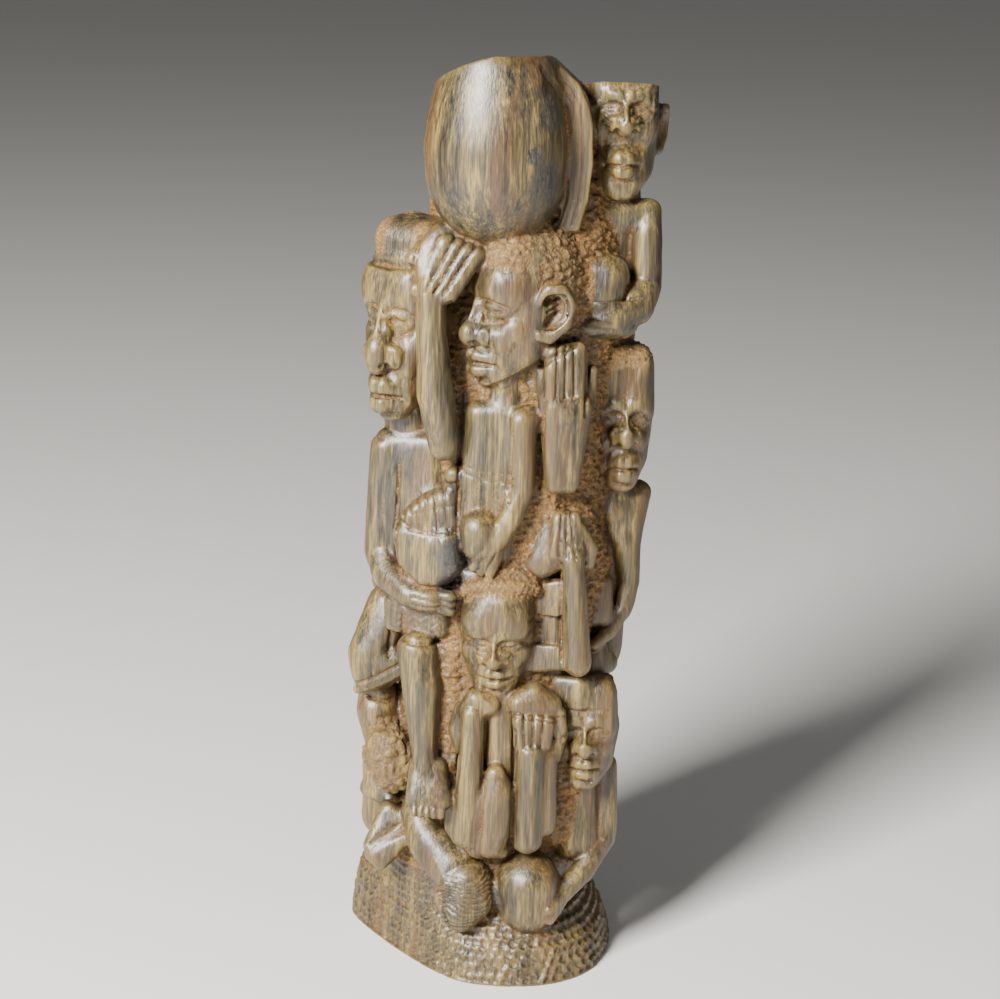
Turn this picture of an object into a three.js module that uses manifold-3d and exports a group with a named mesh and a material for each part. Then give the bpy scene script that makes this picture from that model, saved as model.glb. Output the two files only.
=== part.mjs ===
import * as THREE from 'three';
import { ConvexGeometry } from 'three/addons/geometries/ConvexGeometry.js';
import { mergeVertices } from 'three/addons/utils/BufferGeometryUtils.js';
import Module from 'manifold-3d';

// Carved family column: many small figures climb one round log that stands on a pitted base.
// Millimetres, +Z up, the front of the carving looks along -Y, origin in the middle of the underside.

// Driving sizes
const COLUMN_HEIGHT = 374; // underside to the cut crown of the highest figure
const BASE_WIDTH = 115;
const BASE_DEPTH = 106;
const BASE_HEIGHT = 31; // underside to the top of the mound under the figures
const BASE_WALL = 13; // height of the upright rim
const CORE_DIAMETER = 72; // the log left standing behind the figures, which keep to its round
const POT_DIAMETER = 57;
const POT_HEIGHT = 64; // seat to the middle of the slanting top
const POT_SEAT = 10; // depth that the pot is let into the bearer's hair
const POT_TOP_FALL = 13; // degrees that the cut top falls to the left
const POT_TOP_LEAN = 20; // degrees that the cut top falls to the back
const POT_MOUTH_DIAMETER = 32;
const POT_MOUTH_DEPTH = 3.5;
const STRAP_WIDTH = 9; // the arm that lies round the pot's right side

// The figures are drawn on a column of these sizes, and keep that drawing as shares of it.
const DRAWN_COLUMN_HEIGHT = 374;
const DRAWN_BASE_HEIGHT = 31;
const DRAWN_CORE_DIAMETER = 72;
const RISE = (COLUMN_HEIGHT - BASE_HEIGHT) / (DRAWN_COLUMN_HEIGHT - DRAWN_BASE_HEIGHT);
const SPREAD = CORE_DIAMETER / DRAWN_CORE_DIAMETER;

const wasm = await Module();
wasm.setup();

// Solids

function solidOf(geometry) {
  const bare = geometry.index ? geometry.toNonIndexed() : geometry.clone();
  bare.deleteAttribute('normal');
  bare.deleteAttribute('uv');
  const merged = mergeVertices(bare, 1e-5);
  return new wasm.Manifold(
    new wasm.Mesh({
      numProp: 3,
      vertProperties: merged.getAttribute('position').array,
      triVerts: new Uint32Array(merged.index.array),
    }),
  );
}

// The corners of a faceted unit ball.
function cornersOf(ball) {
  ball.deleteAttribute('normal');
  ball.deleteAttribute('uv');
  const corners = mergeVertices(ball, 1e-4).getAttribute('position');
  const corner = (_, i) => new THREE.Vector3().fromBufferAttribute(corners, i);
  return Array.from({ length: corners.count }, corner);
}

// A coarse ball's corners stand a little outside its radius, so that its faces keep to it.
const BALLS = [
  { below: 6.1, corners: cornersOf(new THREE.OctahedronGeometry(1)), swell: 1.25 },
  { below: 15, corners: cornersOf(new THREE.IcosahedronGeometry(1)), swell: 1.12 },
  { below: 23, corners: cornersOf(new THREE.DodecahedronGeometry(1)), swell: 1.08 },
  { below: Infinity, corners: cornersOf(new THREE.IcosahedronGeometry(1, 1)), swell: 1.03 },
];

// The tight skin round a few balls [x, y, z, radius]: a rounded lump, bar or wedge.
// Detail is the size in millimetres of one drawn unit, and a lower one gives coarser balls.
function skin(balls, matrix, detail) {
  const points = [];
  for (const [x, y, z, radius] of balls) {
    const { corners, swell } = BALLS.find(({ below }) => radius * detail < below);
    for (const corner of corners) {
      const point = corner.clone().multiplyScalar(radius * swell);
      points.push(point.add(new THREE.Vector3(x, y, z)).applyMatrix4(matrix));
    }
  }
  return solidOf(new ConvexGeometry(points));
}

// From the drawing of the column to its place on this one.
const column = new THREE.Matrix4()
  .makeTranslation(0, 0, BASE_HEIGHT - DRAWN_BASE_HEIGHT * RISE)
  .scale(new THREE.Vector3(SPREAD, SPREAD, RISE));

const forms = [];

function lump(balls, matrix = column, detail = 1) {
  forms.push(skin(balls, matrix, detail));
}

// A limb is a chain of balls: each two neighbours share one skin.
function limb(balls, matrix = column, detail = 1) {
  for (let i = 1; i < balls.length; i++) lump([balls[i - 1], balls[i]], matrix, detail);
}

function between(a, b, share) {
  return a.map((value, i) => value + (b[i] - value) * share);
}

// Four fingers lie side by side, from a row of roots to a row of tips.
const FINGERS = 4;
const FINGER_TAPER = 0.85;

function fingers({ roots, tips, radius }) {
  for (let i = 0; i < FINGERS; i++) {
    const share = i / (FINGERS - 1);
    const root = between(roots[0], roots[1], share);
    const tip = between(tips[0], tips[1], share);
    lump([[...root, radius], [...tip, radius * FINGER_TAPER]]);
  }
}

// Heads
// A head is drawn one unit high about its middle, with the face towards -Y.

const HEAD_WIDTH_UNITS = 0.72; // breadth of the drawn cranium

const CRANIUM = [[0, 0.04, 0.15, 0.35], [-0.12, -0.11, 0.12, 0.21], [0.12, -0.11, 0.12, 0.21]];
const JAW = [
  [-0.17, 0.02, 0, 0.19], [0.17, 0.02, 0, 0.19],
  [-0.16, -0.04, -0.24, 0.14], [0.16, -0.04, -0.24, 0.14],
  [-0.05, -0.19, -0.37, 0.12], [0.05, -0.19, -0.37, 0.12],
];
const HAIR = [[0, 0.1, 0.19, 0.345], [0, 0.14, 0.12, 0.34]];
const BROW = [[-0.18, -0.2, 0.07, 0.07], [0, -0.27, 0.08, 0.07], [0.18, -0.2, 0.07, 0.07]];
const NOSE = [[0, -0.28, 0.05, 0.05], [-0.05, -0.37, -0.12, 0.07], [0.05, -0.37, -0.12, 0.07]];
const UPPER_LIP = [[-0.1, -0.27, -0.22, 0.04], [0, -0.36, -0.21, 0.05], [0.1, -0.27, -0.22, 0.04]];
const LOWER_LIP = [[-0.08, -0.27, -0.3, 0.04], [0, -0.345, -0.295, 0.05], [0.08, -0.27, -0.3, 0.04]];
const EAR = [[0.36, 0.02, 0.03, 0.05], [0.42, 0.09, 0.04, 0.04], [0.35, 0.05, -0.13, 0.04]];
const MOUTH = [[-0.1, -0.25, -0.25, 0.06], [0, -0.35, -0.24, 0.07], [0.1, -0.25, -0.25, 0.06]];
const LARGE_FACE = [CRANIUM, JAW, BROW, NOSE, UPPER_LIP, LOWER_LIP];
const SMALL_FACE = [CRANIUM, JAW, NOSE, MOUTH];
const BACK_FACE = [
  [[0, 0.04, 0.14, 0.36], [0, -0.16, -0.32, 0.17]],
  [[0, -0.28, 0.04, 0.07], [0, -0.38, -0.1, 0.1], [0, -0.32, -0.26, 0.1]],
];

function headMatrix({ at, height, width, depth, yaw = 0, pitch = 0 }, parent) {
  return parent
    .clone()
    .multiply(new THREE.Matrix4().makeTranslation(...at))
    .multiply(new THREE.Matrix4().makeRotationZ(THREE.MathUtils.degToRad(yaw)))
    .multiply(new THREE.Matrix4().makeRotationX(THREE.MathUtils.degToRad(pitch)))
    .scale(new THREE.Vector3(width / HEAD_WIDTH_UNITS, depth, height));
}

function head(pose, features, parent = column) {
  const matrix = headMatrix(pose, parent);
  const detail = (pose.height + pose.width / HEAD_WIDTH_UNITS) / 2;
  features.forEach((balls) => lump(balls, matrix, detail));
}

// Base: a low mound with an upright rim, flattened towards the front left.

// Shares of half the width and half the depth
const BASE_OUTLINE = [
  [0, 1], [0.6, 0.86], [0.93, 0.45], [1, -0.1], [0.85, -0.66], [0.5, -0.96],
  [0, -0.99], [-0.32, -0.78], [-0.72, -0.26], [-0.99, 0.28], [-0.84, 0.7], [-0.5, 0.93],
];
const BASE_STEPS = 22;
const BASE_SHOULDERS = [[1, 0], [1, 0.7], [0.97, 1]]; // [share of the outline, share of the wall]
const BASE_DOME = [[0.88, 0.5], [0.7, 1]]; // [share of the outline, share of the mound]

function base() {
  const corners = [...BASE_OUTLINE, BASE_OUTLINE[0]];
  const outline = new THREE.SplineCurve(
    corners.map(([x, y]) => new THREE.Vector2((x * BASE_WIDTH) / 2, (y * BASE_DEPTH) / 2)),
  ).getPoints(BASE_STEPS);
  const levels = [
    ...BASE_SHOULDERS.map(([share, rise]) => [share, rise * BASE_WALL]),
    ...BASE_DOME.map(([share, rise]) => [share, BASE_WALL + rise * (BASE_HEIGHT - BASE_WALL)]),
  ];
  const points = levels.flatMap(([share, z]) =>
    outline.map(({ x, y }) => new THREE.Vector3(x * share, y * share, z)),
  );
  return solidOf(new ConvexGeometry(points));
}

// Core: the log that is left behind the figures, leaning a little to the right, with the wood behind the pot.

// [x, y, z, share of the radius]
const CORE_LINE = [[0, 1, 26, 1.04], [3, 2, 120, 1], [11, 3, 290, 1], [14, 4, 318, 0.8]];
const CORE_FLAT = 1.12; // the log is wider than it is deep

function core() {
  const oval = column.clone().scale(new THREE.Vector3(CORE_FLAT, 1, 1));
  lump(CORE_LINE.map(([x, y, z, share]) => [x, y, z, (share * DRAWN_CORE_DIAMETER) / 2]), oval);
  lump([[30, -3, 364, 7], [36, -2, 318, 11], [18, 4, 336, 14]]);
  lump([[-21, -3, 322, 8], [-12, 2, 330, 12], [-16, 2, 290, 14]]);
}

// Pot bearer: the large head in half profile, with the pot on its crown and a ball in its hands.

const BEARER_HEAD = { at: [8, -25, 286], height: 67, width: 38, depth: 62, yaw: -60, pitch: 2 };

function potBearer() {
  head(BEARER_HEAD, [...LARGE_FACE, HAIR, EAR]);
  lump([[6, -26, 262, 8], [4, -27, 244, 9.5]]);
  lump([[-2, -31, 239, 9.4], [6, -28, 242, 8.6], [-2, -31, 221, 9.4]]);
  limb([[-2, -31, 216, 9.8], [-3, -31, 203, 8.8], [4, -27, 186, 10.5]]);
  limb([[10, -35, 244, 6.4], [10, -37, 211, 5], [4, -39, 191, 4.6], [-5, -41, 181, 4.4]]);
  lump([[-4, -38, 194, 7.3]]);
}

// A raised arm beside the bearer's face, the hand laid along the pot.
function raisedArm() {
  limb([[-26, -36, 294, 7.5], [-23, -38, 266, 6.4], [-19, -36, 229, 6.2]]);
  lump([[-26, -33, 300, 6.4], [-16, -32, 305, 5.6]]);
  fingers({ roots: [[-32, -37, 296], [-20, -38, 296]], tips: [[-25, -36, 313], [-11, -33, 310]], radius: 2.9 });
}

// An arm that comes up under the bearer's jaw, with a squared elbow.
function jawArm() {
  lump([[24, -36, 254, 6], [32, -33, 254, 6], [28, -34, 243, 7.6]]);
  fingers({ roots: [[22, -38, 252], [34, -33, 252]], tips: [[23, -36, 268], [33, -31, 269]], radius: 2.8 });
  lump([[37, -29, 258, 3], [35, -31, 246, 3]]);
  lump([[28, -34, 243, 7.6], [28, -33, 214, 6.2]]);
}

// Basket holder: the long head on the left, with a full basket in its lap.
function basketHolder() {
  head({ at: [-37, -13, 277], height: 83, width: 34, depth: 56, yaw: -22 }, [...LARGE_FACE, HAIR]);
  lump([[-36, -9, 240, 10], [-32, -2, 300, 13], [-30, -4, 210, 14]]);
  lump([[-41, -11, 222, 8], [-24, -14, 222, 10], [-30, -12, 173, 12]]);
  limb([
    [-43, -12, 222, 7.4], [-45, -12, 198, 6.4], [-44, -14, 173, 6.4], [-32, -30, 165, 5.4], [-18, -37, 165, 5],
  ]);
  lump([[-31, -28, 187, 9.2], [-21, -30, 186, 8.2], [-25, -28, 177, 8.2]]);
  lump([[-33, -28, 194, 5.6], [-18, -31, 200, 5.2]]);
}

// Its legs: a lap cloth, one knee out to the side and one leg down to a bare foot.
function basketHolderLegs() {
  limb([[-42, -9, 152, 8], [-50, -14, 129, 9.2], [-43, -12, 119, 7.8]]);
  lump([[-36, -24, 151, 7.6], [-23, -27, 151, 7.6], [-28, -27, 143, 8]]);
  limb([[-28, -31, 135, 9.2], [-25, -36, 99, 5.4], [-24, -38, 90, 5.4]]);
  lump([[-24, -39, 88, 5], [-26, -47, 76, 4.6], [-17, -46, 76, 4.4]]);
}

// Crouching figure at the lower left, bent down over its knees.
function crouchingFigure() {
  limb([[-46, -4, 113, 8], [-46, -6, 104, 9], [-41, -6, 90, 10], [-41, -3, 55, 11]]);
  lump([[-40, -20, 91, 10], [-39, -22, 83, 9.6], [-35, -20, 86, 10]]);
  lump([[-39, -23, 60, 5.6], [-35, -26, 54, 6], [-46, -31, 46, 4.4]]);
}

// Bowed figure at the foot, its back up and its combed head down.
function bowedFigure() {
  lump([[-24, -26, 62, 9.5], [-20, -31, 53, 11], [-11, -36, 46, 10.4]]);
  lump([[-6, -41, 40, 10.8], [-8, -46, 29, 8], [-3, -44, 33, 8.5]]);
}

// Thinker: the small full face in the middle, with the chin over folded arms.
function thinker() {
  head({ at: [4, -31, 151], height: 54, width: 32, depth: 46, yaw: -5, pitch: 10 }, LARGE_FACE);
  lump([[6, -31, 130, 8], [7, -28, 112, 13], [6, -28, 66, 14]]);
  lump([[-2, -42, 122, 5.2], [-7, -36, 116, 5.6]]);
  limb([[-7, -36, 116, 5.8], [-7, -36, 96, 5.6], [-3, -44, 64, 6.6], [-2, -46, 116, 5.2]]);
  lump([[13, -39, 123, 6], [26, -37, 120, 6]]);
  lump([[26, -37, 118, 6], [25, -38, 66, 5.6]]);
  lump([[20, -44, 63, 6.2], [16, -43, 99, 5], [25, -42, 99, 5]]);
  fingers({ roots: [[14, -45, 98], [27, -43, 98]], tips: [[15, -44, 116], [26, -42, 115]], radius: 2.7 });
  lump([[5, -42, 89, 5.8], [6, -42, 79, 7.6], [6, -42, 63, 7.6]]);
}

// Pot keeper at the lower right, with one long arm round a ball.
function potKeeper() {
  head({ at: [42, -21, 106], height: 53, width: 27, depth: 42, yaw: -12 }, SMALL_FACE);
  lump([[40, -20, 82, 8], [39, -19, 56, 12]]);
  limb([[50, -15, 84, 5.8], [52, -18, 53, 5.2], [37, -35, 37, 4.6], [28, -46, 31, 4.3]]);
  lump([[21, -36, 40, 12.8], [22, -36, 31, 11]]);
}

// Plate bearer at the right, with a thin bent arm round an oval plate.
function plateBearer() {
  head({ at: [51, -5, 238], height: 65, width: 26, depth: 46, yaw: -8 }, SMALL_FACE);
  lump([[48, 0, 210, 10], [44, 4, 160, 14], [43, 2, 134, 14]]);
  lump([[48, -7, 201, 6.2], [59, -4, 201, 6.2]]);
  limb([[59, -4, 200, 6], [55, -6, 181, 6.4], [57, -8, 162, 4.4], [48, -18, 142, 4.3]]);
  lump([[45, -16, 165, 5], [46, -16, 151, 5.2]]);
}

// A drawn-up knee in the middle, with a hand over it and the leg below.
function heldKnee() {
  lump([[22, -33, 183, 7.4], [28, -31, 178, 6.5]]);
  lump([[27, -34, 198, 6], [34, -34, 194, 6], [26, -38, 187, 4.4], [33, -38, 182, 5]]);
  lump([[38, -34, 193, 3.4], [41, -32, 184, 3.2]]);
  lump([[33, -38, 181, 5.8], [37, -36, 143, 5.8]]);
  lump([[26, -31, 176, 6], [26, -31, 151, 6]]);
  lump([[18, -35, 136, 3.6], [35, -36, 138, 4], [32, -38, 131, 3.4]]);
}

// Gourd bearer at the upper right, with a worn face and a crown cut flat.
function gourdBearer() {
  const start = forms.length;
  head({ at: [46, -3, 353], height: 58, width: 30, depth: 44, yaw: 8 }, [...SMALL_FACE, EAR]);
  const whole = forms.splice(start).reduce((sum, form) => sum.add(form));
  const above = new THREE.BoxGeometry(COLUMN_HEIGHT, COLUMN_HEIGHT, COLUMN_HEIGHT);
  forms.push(whole.subtract(solidOf(above.translate(0, 0, 1.5 * COLUMN_HEIGHT))));
  lump([[47, -1, 330, 8], [43, 3, 308, 14], [40, 5, 268, 16]]);
  lump([[38, -13, 318, 6], [32, -16, 312, 5.6]]);
  lump([[44, -9, 321, 5.8], [57, -6, 321, 6.2]]);
  lump([[57, -6, 320, 6.2], [58, -11, 290, 6.2]]);
  lump([[57, -12, 287, 6], [40, -25, 280, 5.6]]);
  lump([[41, -17, 299, 9], [38, -16, 290, 8.6]]);
}

// Back: plainer figures that squat with their hands on their knees.
// Each is drawn 100 high on a log of this radius, looking towards -Y.

const SQUATTER_HEIGHT = 100;
const SQUATTER_LOG = 34;
const SQUATTER_DETAIL = 0.6;

function squatter({ axis, foot, height, facing, wide, hand }) {
  const grow = height / SQUATTER_HEIGHT;
  const matrix = column
    .clone()
    .multiply(new THREE.Matrix4().makeTranslation(axis, 0, foot))
    .multiply(new THREE.Matrix4().makeRotationZ(THREE.MathUtils.degToRad(facing)))
    .multiply(new THREE.Matrix4().makeTranslation(0, SQUATTER_LOG - DRAWN_CORE_DIAMETER / 2, 0))
    .scale(new THREE.Vector3(wide, 1, grow));
  lump([[-10, -32, 62, 8], [10, -32, 62, 8], [0, -29, 24, 13]], matrix, SQUATTER_DETAIL);
  head({ at: [0, -35, 83], height: 40, width: 27, depth: 34, pitch: 8 }, BACK_FACE, matrix);
  for (const side of [-1, 1]) {
    const [inward, out, up] = hand;
    const leg = [[side * 11, -27, 18, 8], [side * 12, -41, 37, 7], [side * 10, -39, 5, 6]];
    const arm = [[side * 18, -31, 62, 6], [side * 21, -35, 44, 5.4], [side * inward, out, up, 5]];
    lump(leg, matrix, SQUATTER_DETAIL);
    lump(arm, matrix, SQUATTER_DETAIL);
  }
}

const ON_THE_KNEES = [12, -46, 41];
const UNDER_THE_CHIN = [5, -42, 63];
const ROUND_THE_SHINS = [4, -46, 24];

function backFigures() {
  squatter({ axis: 2, foot: 24, height: 96, facing: 130, wide: 1.3, hand: ON_THE_KNEES });
  squatter({ axis: -2, foot: 22, height: 92, facing: 224, wide: 1.3, hand: ROUND_THE_SHINS });
  squatter({ axis: 5, foot: 116, height: 100, facing: 138, wide: 1.3, hand: UNDER_THE_CHIN });
  squatter({ axis: 2, foot: 112, height: 108, facing: 230, wide: 1.3, hand: ON_THE_KNEES });
  squatter({ axis: 10, foot: 220, height: 104, facing: 178, wide: 1.5, hand: ROUND_THE_SHINS });
}

// Pot: a round-bellied vessel let into the bearer's hair, cut off at a slant, with an arm round it.

// Shares of the radius and of the height, running above the height for the slanting cut
const POT_PROFILE = [
  [0, 0], [0.3, 0], [0.62, 0.11], [0.87, 0.29], [1, 0.58], [0.96, 0.84], [0.78, 1.22], [0, 1.22],
];
const POT_SIDES = 22;
const MOUTH_SIDES = 12;
const POT_MIDDLE = [-3, -25]; // under the pot, on the drawn column
const CROWN = 0.5; // top of the drawn head
// [share of the radius to the right, share of it behind the middle, share of the height]
const STRAP_LINE = [[1.05, 0.42, 0.1], [1.17, 0.42, 0.6], [1, 0.39, 0.86], [0.68, 0.35, 1.02]];

function pot() {
  const crown = new THREE.Vector3(0, 0, CROWN).applyMatrix4(headMatrix(BEARER_HEAD, column));
  const radius = POT_DIAMETER / 2;
  const seat = crown.z - POT_SEAT;
  const [x, y] = POT_MIDDLE.map((value) => value * SPREAD);
  const profile = POT_PROFILE.map(([across, up]) => new THREE.Vector2(across * radius, up * POT_HEIGHT));
  const body = new THREE.LatheGeometry(profile, POT_SIDES).rotateX(Math.PI / 2).translate(x, y, seat);
  const toSlant = (tool) =>
    solidOf(
      tool
        .rotateX(THREE.MathUtils.degToRad(-POT_TOP_LEAN))
        .rotateY(THREE.MathUtils.degToRad(-POT_TOP_FALL))
        .translate(x, y, seat + POT_HEIGHT),
    );
  const clear = 2 * (POT_DIAMETER + POT_HEIGHT);
  const above = toSlant(new THREE.BoxGeometry(clear, clear, clear).translate(0, 0, clear / 2));
  const rim = POT_MOUTH_DIAMETER / 2;
  const dish = new THREE.CylinderGeometry(rim, rim - POT_MOUTH_DEPTH, 2 * POT_MOUTH_DEPTH, MOUTH_SIDES);
  const mouth = toSlant(dish.rotateX(Math.PI / 2));
  forms.push(solidOf(body).subtract(above).subtract(mouth));
  const place = new THREE.Matrix4().makeTranslation(x, y, seat);
  const strap = STRAP_LINE.map(([right, back, up]) => [
    right * radius, back * radius, up * POT_HEIGHT, STRAP_WIDTH / 2,
  ]);
  limb(strap, place);
}

// The whole carving

core();
potBearer();
raisedArm();
jawArm();
basketHolder();
basketHolderLegs();
crouchingFigure();
bowedFigure();
thinker();
potKeeper();
plateBearer();
heldKnee();
gourdBearer();
backFigures();
pot();

const reach = 2 * COLUMN_HEIGHT;
const ground = solidOf(new THREE.BoxGeometry(reach, reach, reach).translate(0, 0, -reach / 2));
const joined = forms.reduce((sum, form) => sum.add(form), base()).subtract(ground);

// Where forms close round a small hollow inside the wood, the hollow's inside-out skin is left out.
const wood = wasm.Manifold.compose(joined.decompose().filter((body) => body.volume() > 0));
const { vertProperties, triVerts } = wood.getMesh();
const carved = new THREE.BufferGeometry();
carved.setAttribute('position', new THREE.BufferAttribute(new Float32Array(vertProperties), 3));
carved.setIndex(new THREE.BufferAttribute(new Uint32Array(triVerts), 1));
carved.computeVertexNormals();

const waxedWood = new THREE.MeshStandardMaterial({ color: 0x4a3a2c, roughness: 0.45, metalness: 0 });
const carving = new THREE.Mesh(carved, waxedWood);
carving.name = 'carving';

const part = new THREE.Group();
part.add(carving);

export default part;
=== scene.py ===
"""Carved family column: one log of dark wood with many figures, standing on a gouge-pitted base.

The forms are drawn in millimetres, as tight skins round a few balls. They grow together into one skin, which
is then cut with grooves, pits and chisel marks, thinned, and brought to metres in the frame's place.
"""

from math import cos, pi, radians, sin
from typing import NamedTuple

import bmesh
import bpy
import numpy as np
from bpy.props import FloatProperty, FloatVectorProperty, IntProperty, PointerProperty
from bpy.types import Operator, Panel, PropertyGroup
from mathutils import Matrix, Vector, noise
from mathutils.bvhtree import BVHTree
from mathutils.kdtree import KDTree


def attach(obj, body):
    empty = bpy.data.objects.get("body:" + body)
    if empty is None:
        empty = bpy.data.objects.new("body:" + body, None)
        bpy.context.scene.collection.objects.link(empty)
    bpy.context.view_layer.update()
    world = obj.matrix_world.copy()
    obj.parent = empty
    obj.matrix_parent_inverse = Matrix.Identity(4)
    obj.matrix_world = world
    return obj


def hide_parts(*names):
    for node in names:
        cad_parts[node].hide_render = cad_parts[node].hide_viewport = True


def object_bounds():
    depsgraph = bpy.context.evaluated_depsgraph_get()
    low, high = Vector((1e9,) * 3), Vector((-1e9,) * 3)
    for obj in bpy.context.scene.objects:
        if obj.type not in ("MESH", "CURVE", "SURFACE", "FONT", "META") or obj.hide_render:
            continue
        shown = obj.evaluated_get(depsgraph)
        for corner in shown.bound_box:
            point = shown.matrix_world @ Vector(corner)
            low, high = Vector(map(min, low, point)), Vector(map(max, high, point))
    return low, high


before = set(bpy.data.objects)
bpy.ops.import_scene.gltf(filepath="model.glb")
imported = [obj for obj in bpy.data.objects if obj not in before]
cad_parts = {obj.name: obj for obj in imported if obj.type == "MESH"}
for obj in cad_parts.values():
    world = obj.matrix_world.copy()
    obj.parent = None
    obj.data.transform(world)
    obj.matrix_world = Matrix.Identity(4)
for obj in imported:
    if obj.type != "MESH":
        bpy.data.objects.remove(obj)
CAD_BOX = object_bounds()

bl_info = {
    "name": "Carved Family Column",
    "version": (1, 0, 0),
    "blender": (4, 5, 0),
    "location": "3D View > Sidebar > Carving",
    "description": "Makes a carved wooden column of figures and the stage it stands on",
    "category": "Object",
}

MM = 0.001


# Sizes and colours that a user would change

class ColumnSizes(PropertyGroup):
    column_height: FloatProperty(
        name="Column Height", description="Underside to the cut crown of the highest figure",
        default=0.374, unit="LENGTH")
    base_width: FloatProperty(
        name="Base Width", description="Width of the pitted base", default=0.115, unit="LENGTH")
    base_depth: FloatProperty(
        name="Base Depth", description="Depth of the pitted base", default=0.106, unit="LENGTH")
    base_height: FloatProperty(
        name="Base Height", description="Underside to the top of the mound", default=0.031, unit="LENGTH")
    base_wall: FloatProperty(
        name="Base Wall", description="Height of the upright rim", default=0.013, unit="LENGTH")
    core_diameter: FloatProperty(
        name="Core Diameter", description="The log left standing behind the figures",
        default=0.072, unit="LENGTH")
    pot_diameter: FloatProperty(
        name="Pot Diameter", description="Width of the pot's belly", default=0.057, unit="LENGTH")
    pot_height: FloatProperty(
        name="Pot Height", description="Seat to the middle of the slanting top",
        default=0.067, unit="LENGTH")
    pot_seat: FloatProperty(
        name="Pot Seat", description="Depth that the pot is let into the hair", default=0.010, unit="LENGTH")
    pot_top_fall: FloatProperty(
        name="Pot Top Fall", description="Slope of the cut top to the left",
        default=radians(13), subtype="ANGLE")
    pot_top_lean: FloatProperty(
        name="Pot Top Lean", description="Slope of the cut top to the back",
        default=radians(20), subtype="ANGLE")
    pot_mouth_diameter: FloatProperty(
        name="Pot Mouth", description="Width of the shallow dish in the top", default=0.032, unit="LENGTH")
    pot_mouth_depth: FloatProperty(
        name="Pot Mouth Depth", description="Depth of the dish in the top", default=0.0035, unit="LENGTH")


class CarverTools(PropertyGroup):
    grain: FloatProperty(
        name="Grain", description="Edge of the cells that the forms grow together in",
        default=0.00062, precision=5, unit="LENGTH")
    triangles: IntProperty(
        name="Triangles", description="Triangles left after thinning", default=197500)
    pit_pitch: FloatProperty(
        name="Pit Pitch", description="Distance between neighbouring gouge pits",
        default=0.0044, precision=4, unit="LENGTH")
    pit_depth: FloatProperty(
        name="Pit Depth", description="Depth of a gouge pit", default=0.0017, precision=5, unit="LENGTH")


class WoodFinish(PropertyGroup):
    heartwood: FloatVectorProperty(
        name="Heartwood", description="Dark grain lines",
        default=(0.009, 0.007, 0.005), size=3, min=0, max=1, subtype="COLOR")
    middle_wood: FloatVectorProperty(
        name="Middle Wood", description="Olive brown between the dark and the pale grain",
        default=(0.067, 0.048, 0.017), size=3, min=0, max=1, subtype="COLOR")
    # Pale grain streaks; the same colour is painted on the convex edges as a highlight
    pale_streak_and_highlight: FloatVectorProperty(
        name="Pale Streak and Highlight", description="Tan grain lines and painted highlights on the edges",
        default=(0.255, 0.176, 0.050), size=3, min=0, max=1, subtype="COLOR")
    rust: FloatVectorProperty(
        name="Rust", description="Red brown streaks", default=(0.095, 0.040, 0.012),
        size=3, min=0, max=1, subtype="COLOR")
    recess: FloatVectorProperty(
        name="Recess", description="Dry unpolished wood in the cut recesses",
        default=(0.370, 0.172, 0.018), size=3, min=0, max=1, subtype="COLOR")
    # Painted shade: the dark colour laid in the grooves, the ground and sheltered places, under the dry dust
    recess_shade: FloatVectorProperty(
        name="Recess Shade", description="Painted shade under the dry dust of the recesses",
        default=(0.040, 0.021, 0.006), size=3, min=0, max=1, subtype="COLOR")
    hair: FloatVectorProperty(
        name="Hair", description="Chipped wood of the hair",
        default=(0.275, 0.140, 0.028), size=3, min=0, max=1, subtype="COLOR")
    charcoal: FloatVectorProperty(
        name="Charcoal", description="Worn dark patches", default=(0.034, 0.033, 0.032),
        size=3, min=0, max=1, subtype="COLOR")


class StageLook(PropertyGroup):
    floor: FloatVectorProperty(
        name="Floor", description="Colour of the floor", default=(0.80, 0.78, 0.75),
        size=3, min=0, max=1, subtype="COLOR")
    key_power: FloatProperty(name="Key Light", description="Power of the main light", default=88.0)
    fill_power: FloatProperty(name="Fill Light", description="Power of the fill light", default=3.5)


# The figures are drawn on a column of these sizes, and keep that drawing as shares of it.
DRAWN_COLUMN_HEIGHT = 374
DRAWN_BASE_HEIGHT = 31
DRAWN_CORE_DIAMETER = 72


def column_place(sizes):
    """From the drawing of the column to millimetres on this one."""
    base = sizes.base_height / MM
    rise = (sizes.column_height / MM - base) / (DRAWN_COLUMN_HEIGHT - DRAWN_BASE_HEIGHT)
    spread = sizes.core_diameter / MM / DRAWN_CORE_DIAMETER
    lift = Matrix.Translation((0, 0, base - DRAWN_BASE_HEIGHT * rise))
    return lift @ Matrix.Diagonal((spread, spread, rise, 1))


# Forms before they grow together

BALL_ROUNDS = 3
BALL_SWELL = 1.01  # a faceted ball's corners stand a little outside its radius


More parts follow.
